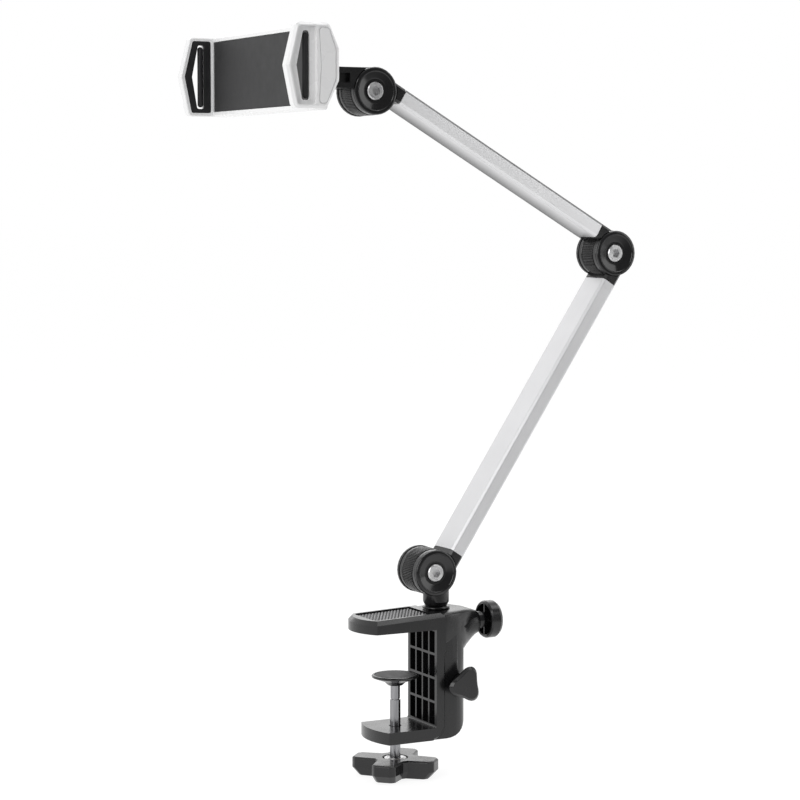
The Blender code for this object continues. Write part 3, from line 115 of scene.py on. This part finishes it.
class Shader:
    """A material under construction, with short calls for the nodes that are used here."""

    def __init__(self, name, colour, roughness, **inputs):
        self.material = bpy.data.materials.new(name)
        self.material.use_nodes = True
        self.nodes = self.material.node_tree.nodes
        self.links = self.material.node_tree.links
        self.main = self.nodes["Principled BSDF"]
        self.main.inputs["Base Color"].default_value = (*colour, 1.0)
        self.main.inputs["Roughness"].default_value = roughness
        for key, value in inputs.items():
            self.main.inputs[key.replace("_", " ")].default_value = value

    def node(self, kind, **settings):
        made = self.nodes.new("ShaderNode" + kind)
        for key, value in settings.items():
            setattr(made, key, value)
        return made

    def wire(self, source, target):
        self.links.new(source, target)

    def place(self, scale=(1.0, 1.0, 1.0), turn=(0.0, 0.0, 0.0)):
        """Object coordinates, turned and scaled."""
        where = self.node("TexCoord")
        mapping = self.node("Mapping", vector_type="TEXTURE")
        mapping.inputs["Rotation"].default_value = turn
        mapping.inputs["Scale"].default_value = scale
        self.wire(where.outputs["Object"], mapping.inputs["Vector"])
        return mapping.outputs["Vector"]

    def noise(self, vector, scale, detail):
        made = self.node("TexNoise")
        made.inputs["Scale"].default_value = scale
        made.inputs["Detail"].default_value = detail
        made.inputs["Roughness"].default_value = NOISE_ROUGHNESS
        self.wire(vector, made.inputs["Vector"])
        return made.outputs["Fac"]

    def spread(self, value, low, high, start=NOISE_LOW, end=NOISE_HIGH):
        """A value between start and end, mapped to one between low and high."""
        made = self.node("MapRange")
        limits = (("From Min", start), ("From Max", end), ("To Min", low), ("To Max", high))
        for key, number in limits:
            made.inputs[key].default_value = number
        self.wire(value, made.inputs["Value"])
        return made.outputs["Result"]

    def combine(self, operation, first, second):
        """The result of a Math node."""
        made = self.node("Math", operation=operation)
        self.wire(first, made.inputs[0])
        self.wire(second, made.inputs[1])
        return made.outputs[0]

    def colour_between(self, factor, first, second):
        made = self.node("Mix", data_type="RGBA")
        made.inputs["A"].default_value = (*first, 1.0)
        made.inputs["B"].default_value = (*second, 1.0)
        self.wire(factor, made.inputs["Factor"])
        self.wire(made.outputs["Result"], self.main.inputs["Base Color"])

    def bump(self, height, strength, distance=GRAIN_DEPTH):
        made = self.node("Bump")
        made.inputs["Strength"].default_value = strength
        made.inputs["Distance"].default_value = distance
        self.wire(height, made.inputs["Height"])
        self.wire(made.outputs["Normal"], self.main.inputs["Normal"])


def black_plastic(name, roughness):
    """Fine spark-eroded moulding, slightly polished by handling."""
    made = Shader(name, (0.007, 0.007, 0.008), roughness, Specular_IOR_Level=0.5)
    place = made.place()
    patches = made.noise(place, 70.0, 4.0)
    sheen = made.spread(patches, roughness - 0.04, roughness + 0.06)
    made.wire(sheen, made.main.inputs["Roughness"])
    made.colour_between(
        made.spread(patches, 0.0, 1.0), (0.0055, 0.0055, 0.0060), (0.0085, 0.0085, 0.0090)
    )
    made.bump(made.noise(place, 1500.0, 2.0), 0.05)
    return made.material


def white_plastic():
    """Glossy white moulding."""
    made = Shader(
        "white_plastic_gloss", (0.82, 0.82, 0.82), 0.26, Coat_Weight=0.2, Coat_Roughness=0.12
    )
    place = made.place()
    patches = made.noise(place, 50.0, 3.0)
    made.wire(made.spread(patches, 0.22, 0.32), made.main.inputs["Roughness"])
    made.colour_between(made.spread(patches, 0.0, 1.0), (0.82, 0.82, 0.825), (0.83, 0.83, 0.83))
    made.bump(made.noise(place, 700.0, 2.0), 0.02)
    return made.material


TUBE_SHADE_Y = (-12.0 * MM, 14.0 * MM)  # where the painted shade under a tube starts and ends


def aluminium(name, angle, tone, painted_far_shade=0.0):
    """Satin anodised extrusion, with faint draw lines along the tube.

    With its last argument above zero, painted shade darkens its underside towards the far edge,
    and painted shade makes its rounded upper edges darker than its faces.
    """
    made = Shader(name, (tone, tone, tone + 0.01), 0.40, Metallic=0.45)
    along = made.place((60.0, 1.0, 1.0), (0.0, -angle, 0.0))
    lines = made.noise(along, 700.0, 2.0)
    patches = made.noise(made.place(), 30.0, 3.0)
    made.wire(made.spread(lines, 0.38, 0.46), made.main.inputs["Roughness"])
    where = made.node("TexCoord")
    place = made.node("SeparateXYZ")
    facing = made.node("SeparateXYZ")
    made.wire(where.outputs["Object"], place.inputs["Vector"])
    made.wire(where.outputs["Normal"], facing.inputs["Vector"])
    upward = facing.outputs["Z"]
    # Painted shade: the underside darkens towards its far edge, and the rounded upper edges are
    # darkened.
    underside = made.spread(upward, 1.0, 0.0, -0.8, -0.4)
    near_y, far_y = TUBE_SHADE_Y
    fade = made.spread(place.outputs["Y"], 0.25 * painted_far_shade, painted_far_shade, near_y, far_y)
    above_side = made.spread(upward, 0.0, painted_far_shade, 0.15, 0.4)
    below_top = made.spread(upward, 0.8, 0.0, 0.75, 0.85)
    shade = made.combine(
        "MAXIMUM",
        made.combine("MULTIPLY", underside, fade),
        made.combine("MULTIPLY", above_side, below_top),
    )
    factor = made.combine("ADD", shade, made.spread(patches, 0.0, 0.05))
    made.colour_between(factor, (tone, tone, tone + 0.01), (0.02, 0.02, 0.022))
    made.bump(lines, 0.008)
    return made.material


def ridged_rubber(node, pitch, turn):
    """Grey rubber with a painted highlight, a lighter band on the crest of each slanting ridge;
    turn is the ridges' direction.
    """
    low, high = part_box(node)
    made = Shader("rubber_ridged", (0.10, 0.10, 0.105), 0.60, Specular_IOR_Level=0.3)
    across = made.place(turn=(0.0, 0.0, turn + math.pi / 2))
    wave = made.node("TexWave", wave_type="BANDS", bands_direction="X")
    wave.inputs["Scale"].default_value = 2 * math.pi / (WAVE_TURN_PER_UNIT * pitch)
    centre = (low + high) / 2
    start = centre.y * math.cos(turn) - centre.x * math.sin(turn)
    wave.inputs["Phase Offset"].default_value = -2 * math.pi * start / pitch
    made.wire(across, wave.inputs["Vector"])
    # Painted highlight: the lighter bands stand in for light falling on the ridges' crests.
    made.colour_between(wave.outputs["Fac"], (0.04, 0.04, 0.041), (0.27, 0.27, 0.275))
    made.bump(made.noise(made.place(), 1200.0, 3.0), 0.10, 2 * GRAIN_DEPTH)
    return made.material


def steel():
    """Bright zinc plating with a soft grain."""
    made = Shader("steel_zinc_plated", (0.62, 0.62, 0.63), 0.30, Metallic=0.9)
    place = made.place()
    patches = made.noise(place, 260.0, 4.0)
    made.wire(made.spread(patches, 0.26, 0.38), made.main.inputs["Roughness"])
    made.colour_between(made.spread(patches, 0.0, 1.0), (0.58, 0.58, 0.59), (0.68, 0.68, 0.68))
    made.bump(made.noise(place, 1200.0, 2.0), 0.03)
    return made.material


def drawn_steel():
    """The clamp screw's rod: polished along its length, with darker streaks."""
    made = Shader("steel_drawn_rod", (0.30, 0.30, 0.31), 0.24, Metallic=1.0)
    streaks = made.noise(made.place((1.0, 1.0, 40.0)), 420.0, 3.0)
    made.wire(made.spread(streaks, 0.16, 0.32), made.main.inputs["Roughness"])
    made.colour_between(made.spread(streaks, 0.0, 1.0), (0.20, 0.20, 0.21), (0.42, 0.42, 0.43))
    made.bump(streaks, 0.05)
    return made.material


def brass():
    """Plain turned brass."""
    made = Shader("brass_turned", (0.55, 0.40, 0.16), 0.32, Metallic=1.0)
    rings = made.noise(made.place((1.0, 1.0, 0.05)), 900.0, 2.0)
    made.wire(made.spread(rings, 0.25, 0.42), made.main.inputs["Roughness"])
    made.colour_between(made.spread(rings, 0.0, 1.0), (0.50, 0.36, 0.14), (0.60, 0.44, 0.18))
    made.bump(rings, 0.05)
    return made.material


def rubber(name, dark, light, roughness, grain):
    """Matte rubber or silicone with a fine grain."""
    made = Shader(name, dark, roughness, Specular_IOR_Level=0.3)
    place = made.place()
    patches = made.noise(place, 120.0, 4.0)
    made.colour_between(made.spread(patches, 0.0, 1.0), dark, light)
    sheen = made.spread(patches, roughness - 0.08, roughness + 0.06)
    made.wire(sheen, made.main.inputs["Roughness"])
    made.bump(made.noise(place, grain, 3.0), 0.10, 2 * GRAIN_DEPTH)
    return made.material


RIDGE_PITCH = 2.3 * MM
RIDGE_TURN = math.radians(60.0)
LOWER_ANGLE = rise_between("base_tilt", "elbow_tilt")
UPPER_ANGLE = rise_between("elbow_tilt", "head_tilt")
PAINT = {
    "black_plastic": black_plastic("black_plastic_moulded", 0.24),
    "base_joint_cover": black_plastic("black_plastic_polished_base", 0.15),
    "elbow_joint_cover": black_plastic("black_plastic_polished_elbow", 0.15),
    "head_joint_cover": black_plastic("black_plastic_polished_head", 0.15),
    "white_plastic": white_plastic(),
    "steel": steel(),
    "brass": brass(),
    "rubber": rubber("rubber_black", (0.014, 0.014, 0.015), (0.020, 0.020, 0.021), 0.62, 1500.0),
    "grey_rubber": rubber("rubber_grey", (0.15, 0.15, 0.155), (0.20, 0.20, 0.205), 0.70, 1200.0),
    "silicone": rubber(
        "silicone_dark_grey", (0.029, 0.029, 0.030), (0.035, 0.035, 0.036), 0.55, 900.0
    ),
    "pressure_pad_face": rubber(
        "rubber_worn_grey", (0.045, 0.045, 0.047), (0.065, 0.065, 0.067), 0.60, 1200.0
    ),
    # The upper tube's lighter tone than the lower tube's is painted light; both tubes are the same
    # aluminium.
    "lower_arm_tube": aluminium("aluminium_lower_tube", LOWER_ANGLE, 0.70),
    "upper_arm_tube": aluminium("aluminium_upper_tube", UPPER_ANGLE, 0.92, painted_far_shade=0.98),
    "jaw_top_pad": ridged_rubber("jaw_top_pad", RIDGE_PITCH, RIDGE_TURN),
    "clamp_screw": drawn_steel(),
}


def paint_of(node):
    """A node's own paint where it has one, otherwise the paint of its material slot."""
    return PAINT.get(node) or PAINT[SLOT_OF[node]]


# ---------------------------------------------------------------- pieces

SHARP_ANGLE = 30.0  # degrees; edges that turn by more than this stay sharp or get a radius
PLAIN_BEVEL = 0.3 * MM
SHELL_BEVEL = 0.25 * MM
CLAMP_BEVEL = 0.4 * MM
WELD_DISTANCE = 0.002 * MM
FLAT_ANGLE = math.radians(0.3)  # faces that turn by less than this are merged


def finish_piece(name, builder, nodes, bevel=0.0, sharp=SHARP_ANGLE, body=None):
    """An object from a bmesh, smooth between sharp edges, in place of the given CAD nodes.

    With a body given it is an extra piece that rides the body and replaces no node.
    """
    mesh = bpy.data.meshes.new(name)
    many_sided = [face for face in builder.faces if len(face.verts) > 4]
    bmesh.ops.triangulate(builder, faces=many_sided)
    builder.to_mesh(mesh)
    builder.free()
    mesh.polygons.foreach_set("use_smooth", [True] * len(mesh.polygons))
    mesh.set_sharp_from_angle(angle=math.radians(sharp))
    mesh.materials.append(paint_of(nodes[0]))
    made = bpy.data.objects.new(name, mesh)
    bpy.context.scene.collection.objects.link(made)
    if bevel:
        edge = made.modifiers.new("edge_radius", "BEVEL")
        edge.width = bevel
        edge.segments = 2
        edge.limit_method = "ANGLE"
        edge.angle_limit = math.radians(sharp)
        flat = made.modifiers.new("flat_faces", "WEIGHTED_NORMAL")
        flat.keep_sharp = True
    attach(made, body or BODY_OF[nodes[0]])
    if not body:
        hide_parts(*nodes)


def cleaned(node):
    """The CAD node's own shape, with its triangles merged back into flat faces."""
    builder = bmesh.new()
    builder.from_mesh(frame["nodes"][node].data)
    bmesh.ops.remove_doubles(builder, verts=builder.verts, dist=WELD_DISTANCE)
    bmesh.ops.dissolve_limit(
        builder, angle_limit=FLAT_ANGLE, verts=builder.verts, edges=builder.edges
    )
    return builder


def refine(node, bevel):
    """The CAD node's own shape with its edges rounded."""
    finish_piece(node + "_finish", cleaned(node), [node], bevel)


def skin(sections, ring=False):
    """A closed bmesh over rings of equal point counts; a ring is joined end to start."""
    builder = bmesh.new()
    rows = [[builder.verts.new(point) for point in section] for section in sections]
    count = len(rows[0])
    pairs = list(zip(rows, rows[1:]))
    if ring:
        pairs.append((rows[-1], rows[0]))
    for lower, upper in pairs:
        for i in range(count):
            j = (i + 1) % count
            builder.faces.new((lower[i], lower[j], upper[j], upper[i]))
    if not ring:
        builder.faces.new(list(reversed(rows[0])))
        builder.faces.new(rows[-1])
    bmesh.ops.recalc_face_normals(builder, faces=builder.faces)
    return builder


def carved(builder, tools):
    """The shape after each tool has been taken from it."""
    scene_objects = bpy.context.scene.collection.objects

    def temporary(shape):
        mesh = bpy.data.meshes.new("temporary")
        shape.to_mesh(mesh)
        shape.free()
        made = bpy.data.objects.new("temporary", mesh)
        scene_objects.link(made)
        return made

    target = temporary(builder)
    cutters = [temporary(tool) for tool in tools]
    for cutter in cutters:
        modifier = target.modifiers.new("cut", "BOOLEAN")
        modifier.operation = "DIFFERENCE"
        modifier.solver = "EXACT"
        modifier.object = cutter
    graph = bpy.context.evaluated_depsgraph_get()
    result = bpy.data.meshes.new_from_object(target.evaluated_get(graph))
    shape = bmesh.new()
    shape.from_mesh(result)
    bpy.data.meshes.remove(result)
    for spent in [target, *cutters]:
        mesh = spent.data
        bpy.data.objects.remove(spent, do_unlink=True)
        bpy.data.meshes.remove(mesh)
    return shape


def filleted(corners, steps=5):
    """An outline from (a, b, radius) corners, with each corner rounded by its radius."""
    outline = []
    for i, (a, b, radius) in enumerate(corners):
        here = Vector((a, b))
        before = (Vector(corners[i - 1][:2]) - here).normalized()
        after = (Vector(corners[(i + 1) % len(corners)][:2]) - here).normalized()
        half = before.angle(after) / 2
        centre = here + (before + after).normalized() * (radius / math.sin(half))
        start = here + before * (radius / math.tan(half)) - centre
        end = here + after * (radius / math.tan(half)) - centre
        sweep = start.angle_signed(end)
        for step in range(steps + 1):
            outline.append(tuple(centre + Matrix.Rotation(-sweep * step / steps, 2) @ start))
    return outline


# ---------------------------------------------------------------- drum joints

DRUM_LOW, DRUM_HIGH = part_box("elbow_joint_cover")
DRUM_RADIUS = (DRUM_HIGH.z - DRUM_LOW.z) / 2
BARREL_HALF = 7.5 * MM  # half the width of the ribbed barrel between the two cheeks
RIB_COUNT = 84
RIB_DEPTH = 0.8 * MM
RIB_TIP_RADIUS = DRUM_RADIUS + 0.1 * MM
RIB_EASE = 0.35 * MM  # how far the ribs' ends fall away
RIB_SLEEVE_WALL = 3.0 * MM  # from the ribs' tips down to the sleeve's bore
RIB_PROFILE = ((0.0, 0.0), (0.28, 1.0), (0.56, 1.0), (0.84, 0.0))  # share of pitch, of depth
PLAIN_DRUM_DROP = 0.95 * MM
COARSE_RIB_ROOT_DROP = 1.3 * MM
TOUCH = 0.05 * MM
JOINT_BARRELS = {
    "swivel_post": "base_tilt",
    "upper_arm_elbow_tongue": "elbow_tilt",
    "tilt_bracket": "head_tilt",
}


def shaved_barrel(node, centre):
    """The CAD piece with its coarse ribs pressed down to a plain drum."""
    builder = cleaned(node)
    plain = DRUM_RADIUS - PLAIN_DRUM_DROP
    root = DRUM_RADIUS - COARSE_RIB_ROOT_DROP
    for vertex in builder.verts:
        arm = Vector((vertex.co.x - centre.x, 0.0, vertex.co.z - centre.z))
        on_rib = root < arm.length < DRUM_RADIUS - TOUCH
        if on_rib and abs(vertex.co.y) < BARREL_HALF + TOUCH:
            moved = arm.normalized() * plain
            vertex.co = Vector((centre.x + moved.x, vertex.co.y, centre.z + moved.z))
    return builder


def rib_sleeve(centre):
    """Fine grip ribs all the way round a barrel, with eased ends."""
    root = RIB_TIP_RADIUS - RIB_DEPTH
    half = BARREL_HALF - TOUCH

    def ring(level, drop):
        points = []
        for rib in range(RIB_COUNT):
            for share, height in RIB_PROFILE:
                angle = 2 * math.pi * (rib + share) / RIB_COUNT
                reach = root + height * RIB_DEPTH - drop
                x = centre.x + reach * math.cos(angle)
                z = centre.z + reach * math.sin(angle)
                points.append(Vector((x, level, z)))
        return points

    levels = (
        (-half, RIB_SLEEVE_WALL),
        (-half, RIB_EASE),
        (-half + RIB_EASE, 0.0),
        (half - RIB_EASE, 0.0),
        (half, RIB_EASE),
        (half, RIB_SLEEVE_WALL),
    )
    return skin([ring(level, drop) for level, drop in levels], ring=True)


def make_barrels():
    """The barrel of each drum joint, and its ribs as a sleeve round it."""
    for node, joint in JOINT_BARRELS.items():
        centre = AXIS_AT[joint]
        finish_piece(node + "_finish", shaved_barrel(node, centre), [node], PLAIN_BEVEL)
        ribs = rib_sleeve(centre)
        finish_piece(node + "_grip_ribs", ribs, [node], body=BODY_OF[node])


# ---------------------------------------------------------------- cradle

PAD_LOW, PAD_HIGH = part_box("tray_pad")
CRADLE_MIDDLE = (PAD_LOW.z + PAD_HIGH.z) / 2
SLOT_BACK = 18.4 * MM  # from the front of the jaw's shell
SLOT_BAR_RADIUS = 2.1 * MM
SLOT_BAR_GAP = 0.4 * MM
SLOT_BAR_INSET = 2.2 * MM
SLOT_BAR_HALF = 21.8 * MM
SLOT_BAR_STEPS = 16
SLOT_BAR_ENDS = ((-1.0, 0.35), (-0.97, 0.8), (-0.93, 1.0), (0.93, 1.0), (0.97, 0.8), (1.0, 0.35))
PANEL_FRONT = 23.4 * MM  # from the front of the jaw's shell
PANEL_NOTCH = 1.6 * MM
PANEL_HALF_HEIGHT = 25.6 * MM
PANEL_TIP_MARGIN = 2.6 * MM  # this and the next two are from the back of the jaw's shell
PANEL_LOW_MARGIN = 10.0 * MM
PANEL_HIGH_MARGIN = 8.0 * MM
PANEL_TIP_BELOW = 9.0 * MM
PANEL_TIP_ABOVE = 11.0 * MM
PANEL_GROOVE_WIDTH = 0.7 * MM
PANEL_GROOVE_DEPTH = 0.7 * MM
PANEL_REACH = 2.0 * MM  # how far the groove's cutter stands out of the shell


def groove_ring(outline, width, ends):
    """A closed band that cuts a groove along the inside of an outline in X and Z."""
    centre_x = sum(x for x, _ in outline) / len(outline)
    centre_z = sum(z for _, z in outline) / len(outline)
    half_x = max(abs(x - centre_x) for x, _ in outline)
    half_z = max(abs(z - centre_z) for _, z in outline)
    inner = [
        (
            centre_x + (x - centre_x) * (1 - width / half_x),
            centre_z + (z - centre_z) * (1 - width / half_z),
        )
        for x, z in outline
    ]
    low, high = sorted(ends)
    rings = ((outline, low), (outline, high), (inner, high), (inner, low))
    return skin([[Vector((x, y, z)) for x, z in ring] for ring, y in rings], ring=True)


def jaw_shell(name, side):
    """The white shell, with the outline of a panel cut behind the sunken field of its slot."""
    node = name + "_shell"
    low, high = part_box(node)
    outer = low.y if side < 0 else high.y
    middle = CRADLE_MIDDLE
    front = low.x + PANEL_FRONT
    tip = high.x - PANEL_TIP_MARGIN
    bottom = middle - PANEL_HALF_HEIGHT
    top = middle + PANEL_HALF_HEIGHT
    rear_panel = [
        (front, bottom, 2.5 * MM),
        (high.x - PANEL_LOW_MARGIN, bottom, 4.0 * MM),
        (tip, middle - PANEL_TIP_BELOW, 4.0 * MM),
        (tip, middle + PANEL_TIP_ABOVE, 4.0 * MM),
        (high.x - PANEL_HIGH_MARGIN, top, 4.0 * MM),
        (front, top, 2.5 * MM),
        (front + PANEL_NOTCH, middle, 12.0 * MM),
    ]
    ends = (outer - side * PANEL_GROOVE_DEPTH, outer + side * PANEL_REACH)
    groove = groove_ring(filleted(rear_panel), PANEL_GROOVE_WIDTH, ends)
    finish_piece(node + "_finish", carved(cleaned(node), [groove]), [node], SHELL_BEVEL)


def slot_bar(name, side):
    """The rounded rubber bar along the back of a jaw's slot."""
    node = name + "_grip"
    low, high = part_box(node)
    shell_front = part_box(name + "_shell")[0].x
    centre_x = shell_front + SLOT_BACK - SLOT_BAR_RADIUS - SLOT_BAR_GAP
    centre_y = (low.y if side > 0 else high.y) + side * SLOT_BAR_INSET
    rows = []
    for level, scale in SLOT_BAR_ENDS:
        row = []
        for i in range(SLOT_BAR_STEPS):
            angle = 2 * math.pi * i / SLOT_BAR_STEPS
            x = centre_x + SLOT_BAR_RADIUS * scale * math.cos(angle)
            y = centre_y + SLOT_BAR_RADIUS * scale * math.sin(angle)
            row.append(Vector((x, y, CRADLE_MIDDLE + SLOT_BAR_HALF * level)))
        rows.append(row)
    finish_piece(name + "_slot_bar", skin(rows), [node], body=BODY_OF[node])


# ---------------------------------------------------------------- clamp details

SLAB_EDGE_SETBACK = 12.8 * MM  # from the side knobs' axis back to the slab's edge
SLAB_FOOT_RADIUS = 11.0 * MM
SLAB_CHAMFER_WIDTH = 1.5 * MM
SLAB_CHAMFER_TOP = -14.0 * MM  # height where the chamfer starts, nearly without width
SLAB_CHAMFER_FULL = -18.0 * MM  # height where it has its full width
SLAB_CHAMFER_START_SHARE = 0.02
SLAB_FOOT_STEPS = 14
SLAB_FOOT_STEP = math.radians(6.0)
PAD_SHRINK_X = 0.95
PAD_SHRINK_Y = 0.91
PAD_THICKNESS = 1.1 * MM  # the rest of the pad's height is the slope of its top
RIDGE_GROOVE_HALF = 0.8 * MM
RIDGE_GROOVE_DEPTH = 0.6 * MM
RIDGE_SHARP_ANGLE = 25.0
CLIP_WIRE_RADIUS = 0.45 * MM
CLIP_RADIUS = 6.4 * MM
CLIP_GAP = math.radians(50)
CLIP_STEPS = 40
CLIP_SIDES = 8


def ridge_grooves(node):
    """The V-shaped cutters that leave slanting ridges on the sloping top of a pad."""
    low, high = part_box(node)
    centre = (low + high) / 2
    reach = (high - low).length
    slope = (high.z - low.z - PAD_THICKNESS) / (high.x - low.x)
    direction = Vector((math.cos(RIDGE_TURN), math.sin(RIDGE_TURN), 0.0))
    across = Vector((-direction.y, direction.x, 0.0))
    section = ((-RIDGE_GROOVE_HALF, SPARE), (RIDGE_GROOVE_HALF, SPARE), (0.0, -RIDGE_GROOVE_DEPTH))
    grooves = bmesh.new()
    count = int(reach / RIDGE_PITCH)
    for index in range(-count // 2, count // 2 + 1):
        middle = centre + across * (index * RIDGE_PITCH)
        corners = []
        for end in (-1.0, 1.0):
            spot = middle + direction * (end * reach / 2)
            top = high.z + slope * (spot.x - high.x)
            for offset, level in section:
                place = spot + across * offset
                corners.append(grooves.verts.new((place.x, place.y, top + level)))
        grooves.faces.new(corners[:3])
        grooves.faces.new(list(reversed(corners[3:])))
        for i in range(3):
            j = (i + 1) % 3
            grooves.faces.new((corners[i], corners[3 + i], corners[3 + j], corners[j]))
    bmesh.ops.recalc_face_normals(grooves, faces=grooves.faces)
    return grooves


def striped_pad():
    """The grip pad on the upper jaw, a little smaller than its recess and cut into ridges."""
    node = "jaw_top_pad"
    low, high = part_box(node)
    centre = (low + high) / 2
    pad = cleaned(node)
    for vertex in pad.verts:
        vertex.co.x = centre.x + (vertex.co.x - centre.x) * PAD_SHRINK_X
        vertex.co.y = centre.y + (vertex.co.y - centre.y) * PAD_SHRINK_Y
    shape = carved(pad, [ridge_grooves(node)])
    finish_piece(node + "_ridges", shape, [node], sharp=RIDGE_SHARP_ANGLE)


def slab_chamfer(side):
    """What is taken off one back edge of the clamp's slab, down to and round its foot."""
    low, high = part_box("clamp_body")
    half = (high.y - low.y) / 2
    edge_x = AXIS_AT["near_knob_turn"].x - SLAB_EDGE_SETBACK
    arc_z = low.z + SLAB_FOOT_RADIUS
    out = Vector((0.0, side, 0.0))
    path = [(0.0, SLAB_CHAMFER_TOP, SLAB_CHAMFER_START_SHARE), (0.0, SLAB_CHAMFER_FULL, 1.0)]
    path += [(-SLAB_FOOT_STEP * step, arc_z, 1.0) for step in range(SLAB_FOOT_STEPS + 1)]
    rows = []
    for angle, centre_z, scale in path:
        away = Vector((math.cos(angle), 0.0, math.sin(angle)))
        centre = Vector((edge_x - SLAB_FOOT_RADIUS, side * half, centre_z))
        corner = centre + away * SLAB_FOOT_RADIUS
        cut = SLAB_CHAMFER_WIDTH * scale + SPARE
        rows.append(
            [
                corner + away * SPARE + out * SPARE,
                corner - away * cut + out * SPARE,
                corner + away * SPARE - out * cut,
            ]
        )
    return skin(rows)


def clamp_casting():
    """The clamp with the back edges of its slab eased, where they catch the light."""
    shape = carved(cleaned("clamp_body"), [slab_chamfer(side) for side in (-1, 1)])
    finish_piece("clamp_body_finish", shape, ["clamp_body"], CLAMP_BEVEL)


def handle_clip():
    """The open spring clip that lies round the screw, pressed into the handle's collar."""
    low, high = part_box("handle_collar")
    centre = (low + high) / 2
    level = high.z - CLIP_WIRE_RADIUS / 3
    sections = []
    for step in range(CLIP_STEPS + 1):
        turn = CLIP_GAP / 2 + (2 * math.pi - CLIP_GAP) * step / CLIP_STEPS
        outwards = Vector((math.cos(turn), math.sin(turn), 0.0))
        spot = Vector((centre.x, centre.y, level)) + outwards * CLIP_RADIUS
        row = []
        for i in range(CLIP_SIDES):
            angle = 2 * math.pi * i / CLIP_SIDES
            lift = Vector((0.0, 0.0, CLIP_WIRE_RADIUS * math.sin(angle)))
            row.append(spot + outwards * (CLIP_WIRE_RADIUS * math.cos(angle)) + lift)
        sections.append(row)
    finish_piece("handle_clip", skin(sections), ["handle_collar"], body=BODY_OF["handle_collar"])


make_barrels()
for jaw_name, jaw_side in (("jaw_near", -1), ("jaw_far", 1)):
    jaw_shell(jaw_name, jaw_side)
    slot_bar(jaw_name, jaw_side)
clamp_casting()
striped_pad()
handle_clip()

BUILT = {*JOINT_BARRELS, "jaw_near_shell", "jaw_far_shell", "jaw_top_pad", "clamp_body"}
BEVELS = {
    "screw_handle": 0.7 * MM,
    "side_knob_near": 0.6 * MM,
    "side_knob_far": 0.6 * MM,
    "tray_pad": 0.2 * MM,
    "lower_arm_tube": 0.6 * MM,
    "upper_arm_tube": 0.6 * MM,
}
for plain_node in frame["nodes"]:
    if plain_node not in BUILT:
        refine(plain_node, BEVELS.get(plain_node, PLAIN_BEVEL))


# ---------------------------------------------------------------- stage

scene = bpy.context.scene
FLOOR_HALF = 40.0
FLOOR_GAP = 0.5 * MM
FLOOR_GLOW = (0.08, 0.87)  # at the front and from just before the stand to the horizon
FLOOR_GLOW_Y = (-1.0, -0.4)
SKY_GLOW = (0.22, 1.0)  # in front and behind
SKY_GLOW_Y = (-0.5, 0.35)
LIGHT_TARGET = Vector((0.03, 0.0, 0.16))
LIGHTS = {  # place, size across and along, power
    "key_left": ((-1.5, -0.9, 0.9), (0.9, 1.6), 15.0),
    "fill_right": ((1.5, -1.1, 0.6), (0.8, 1.6), 8.0),
    "top_soft": ((0.1, 0.2, 1.9), (1.6, 1.6), 6.0),
    "top_card": ((0.85, -0.15, 1.75), (0.8, 0.8), 4.0),
    "rim_back": ((0.6, 1.6, 0.9), (1.6, 1.2), 6.0),
}
CAMERA_PLACE = (-0.8243, -1.5743, 0.3111)
CAMERA_TILT = math.radians(85.4)
CAMERA_PAN = math.radians(-27.75)
CAMERA_LENS = 110.25


def floor_paint():
    """Pale floor that glows up to white, but less in front, where dark parts reflect it."""
    made = Shader("floor_pale", (0.20, 0.20, 0.20), 0.8, Specular_IOR_Level=0.0)
    made.main.inputs["Emission Color"].default_value = (1.0, 1.0, 1.0, 1.0)
    place = made.node("SeparateXYZ")
    made.wire(made.place(), place.inputs["Vector"])
    glow = made.spread(place.outputs["Y"], *FLOOR_GLOW, *FLOOR_GLOW_Y)
    made.wire(glow, made.main.inputs["Emission Strength"])
    return made.material


def make_floor():
    builder = bmesh.new()
    bmesh.ops.create_grid(builder, x_segments=1, y_segments=1, size=FLOOR_HALF)
    mesh = bpy.data.meshes.new("floor")
    builder.to_mesh(mesh)
    builder.free()
    mesh.materials.append(floor_paint())
    floor = bpy.data.objects.new("floor", mesh)
    lowest = cad_bounds[0][2]
    floor.location = (0.0, 0.0, lowest - FLOOR_GAP)
    scene.collection.objects.link(floor)


def area_light(name, place, size, power):
    light = bpy.data.lights.new(name, "AREA")
    light.shape = "RECTANGLE"
    light.size, light.size_y = size
    light.energy = power
    made = bpy.data.objects.new(name, light)
    made.location = place
    aim = LIGHT_TARGET - Vector(place)
    made.rotation_euler = aim.to_track_quat("-Z", "Y").to_euler()
    scene.collection.objects.link(made)


def studio_world():
    """White behind and above, dimmer towards the front, so that dark parts keep their depth."""
    world = bpy.data.worlds.new("studio")
    world.use_nodes = True
    nodes = world.node_tree.nodes
    links = world.node_tree.links
    where = nodes.new("ShaderNodeTexCoord")
    split = nodes.new("ShaderNodeSeparateXYZ")
    links.new(where.outputs["Generated"], split.inputs["Vector"])
    towards_back = nodes.new("ShaderNodeMapRange")
    limits = zip(("From Min", "From Max", "To Min", "To Max"), (*SKY_GLOW_Y, *SKY_GLOW))
    for key, number in limits:
        towards_back.inputs[key].default_value = number
    links.new(split.outputs["Y"], towards_back.inputs["Value"])
    links.new(towards_back.outputs["Result"], nodes["Background"].inputs["Strength"])
    nodes["Background"].inputs["Color"].default_value = (1.0, 1.0, 1.0, 1.0)
    scene.world = world


def make_camera():
    data = bpy.data.cameras.new("camera")
    data.sensor_width = 36.0
    data.lens = CAMERA_LENS
    data.clip_start = 0.05
    data.clip_end = 200.0
    camera = bpy.data.objects.new("camera", data)
    camera.location = CAMERA_PLACE
    camera.rotation_euler = (CAMERA_TILT, 0.0, CAMERA_PAN)
    scene.collection.objects.link(camera)
    return camera


make_floor()
for light_name, light_settings in LIGHTS.items():
    area_light(light_name, *light_settings)
studio_world()
scene.view_settings.view_transform = "Standard"
scene.camera = make_camera()
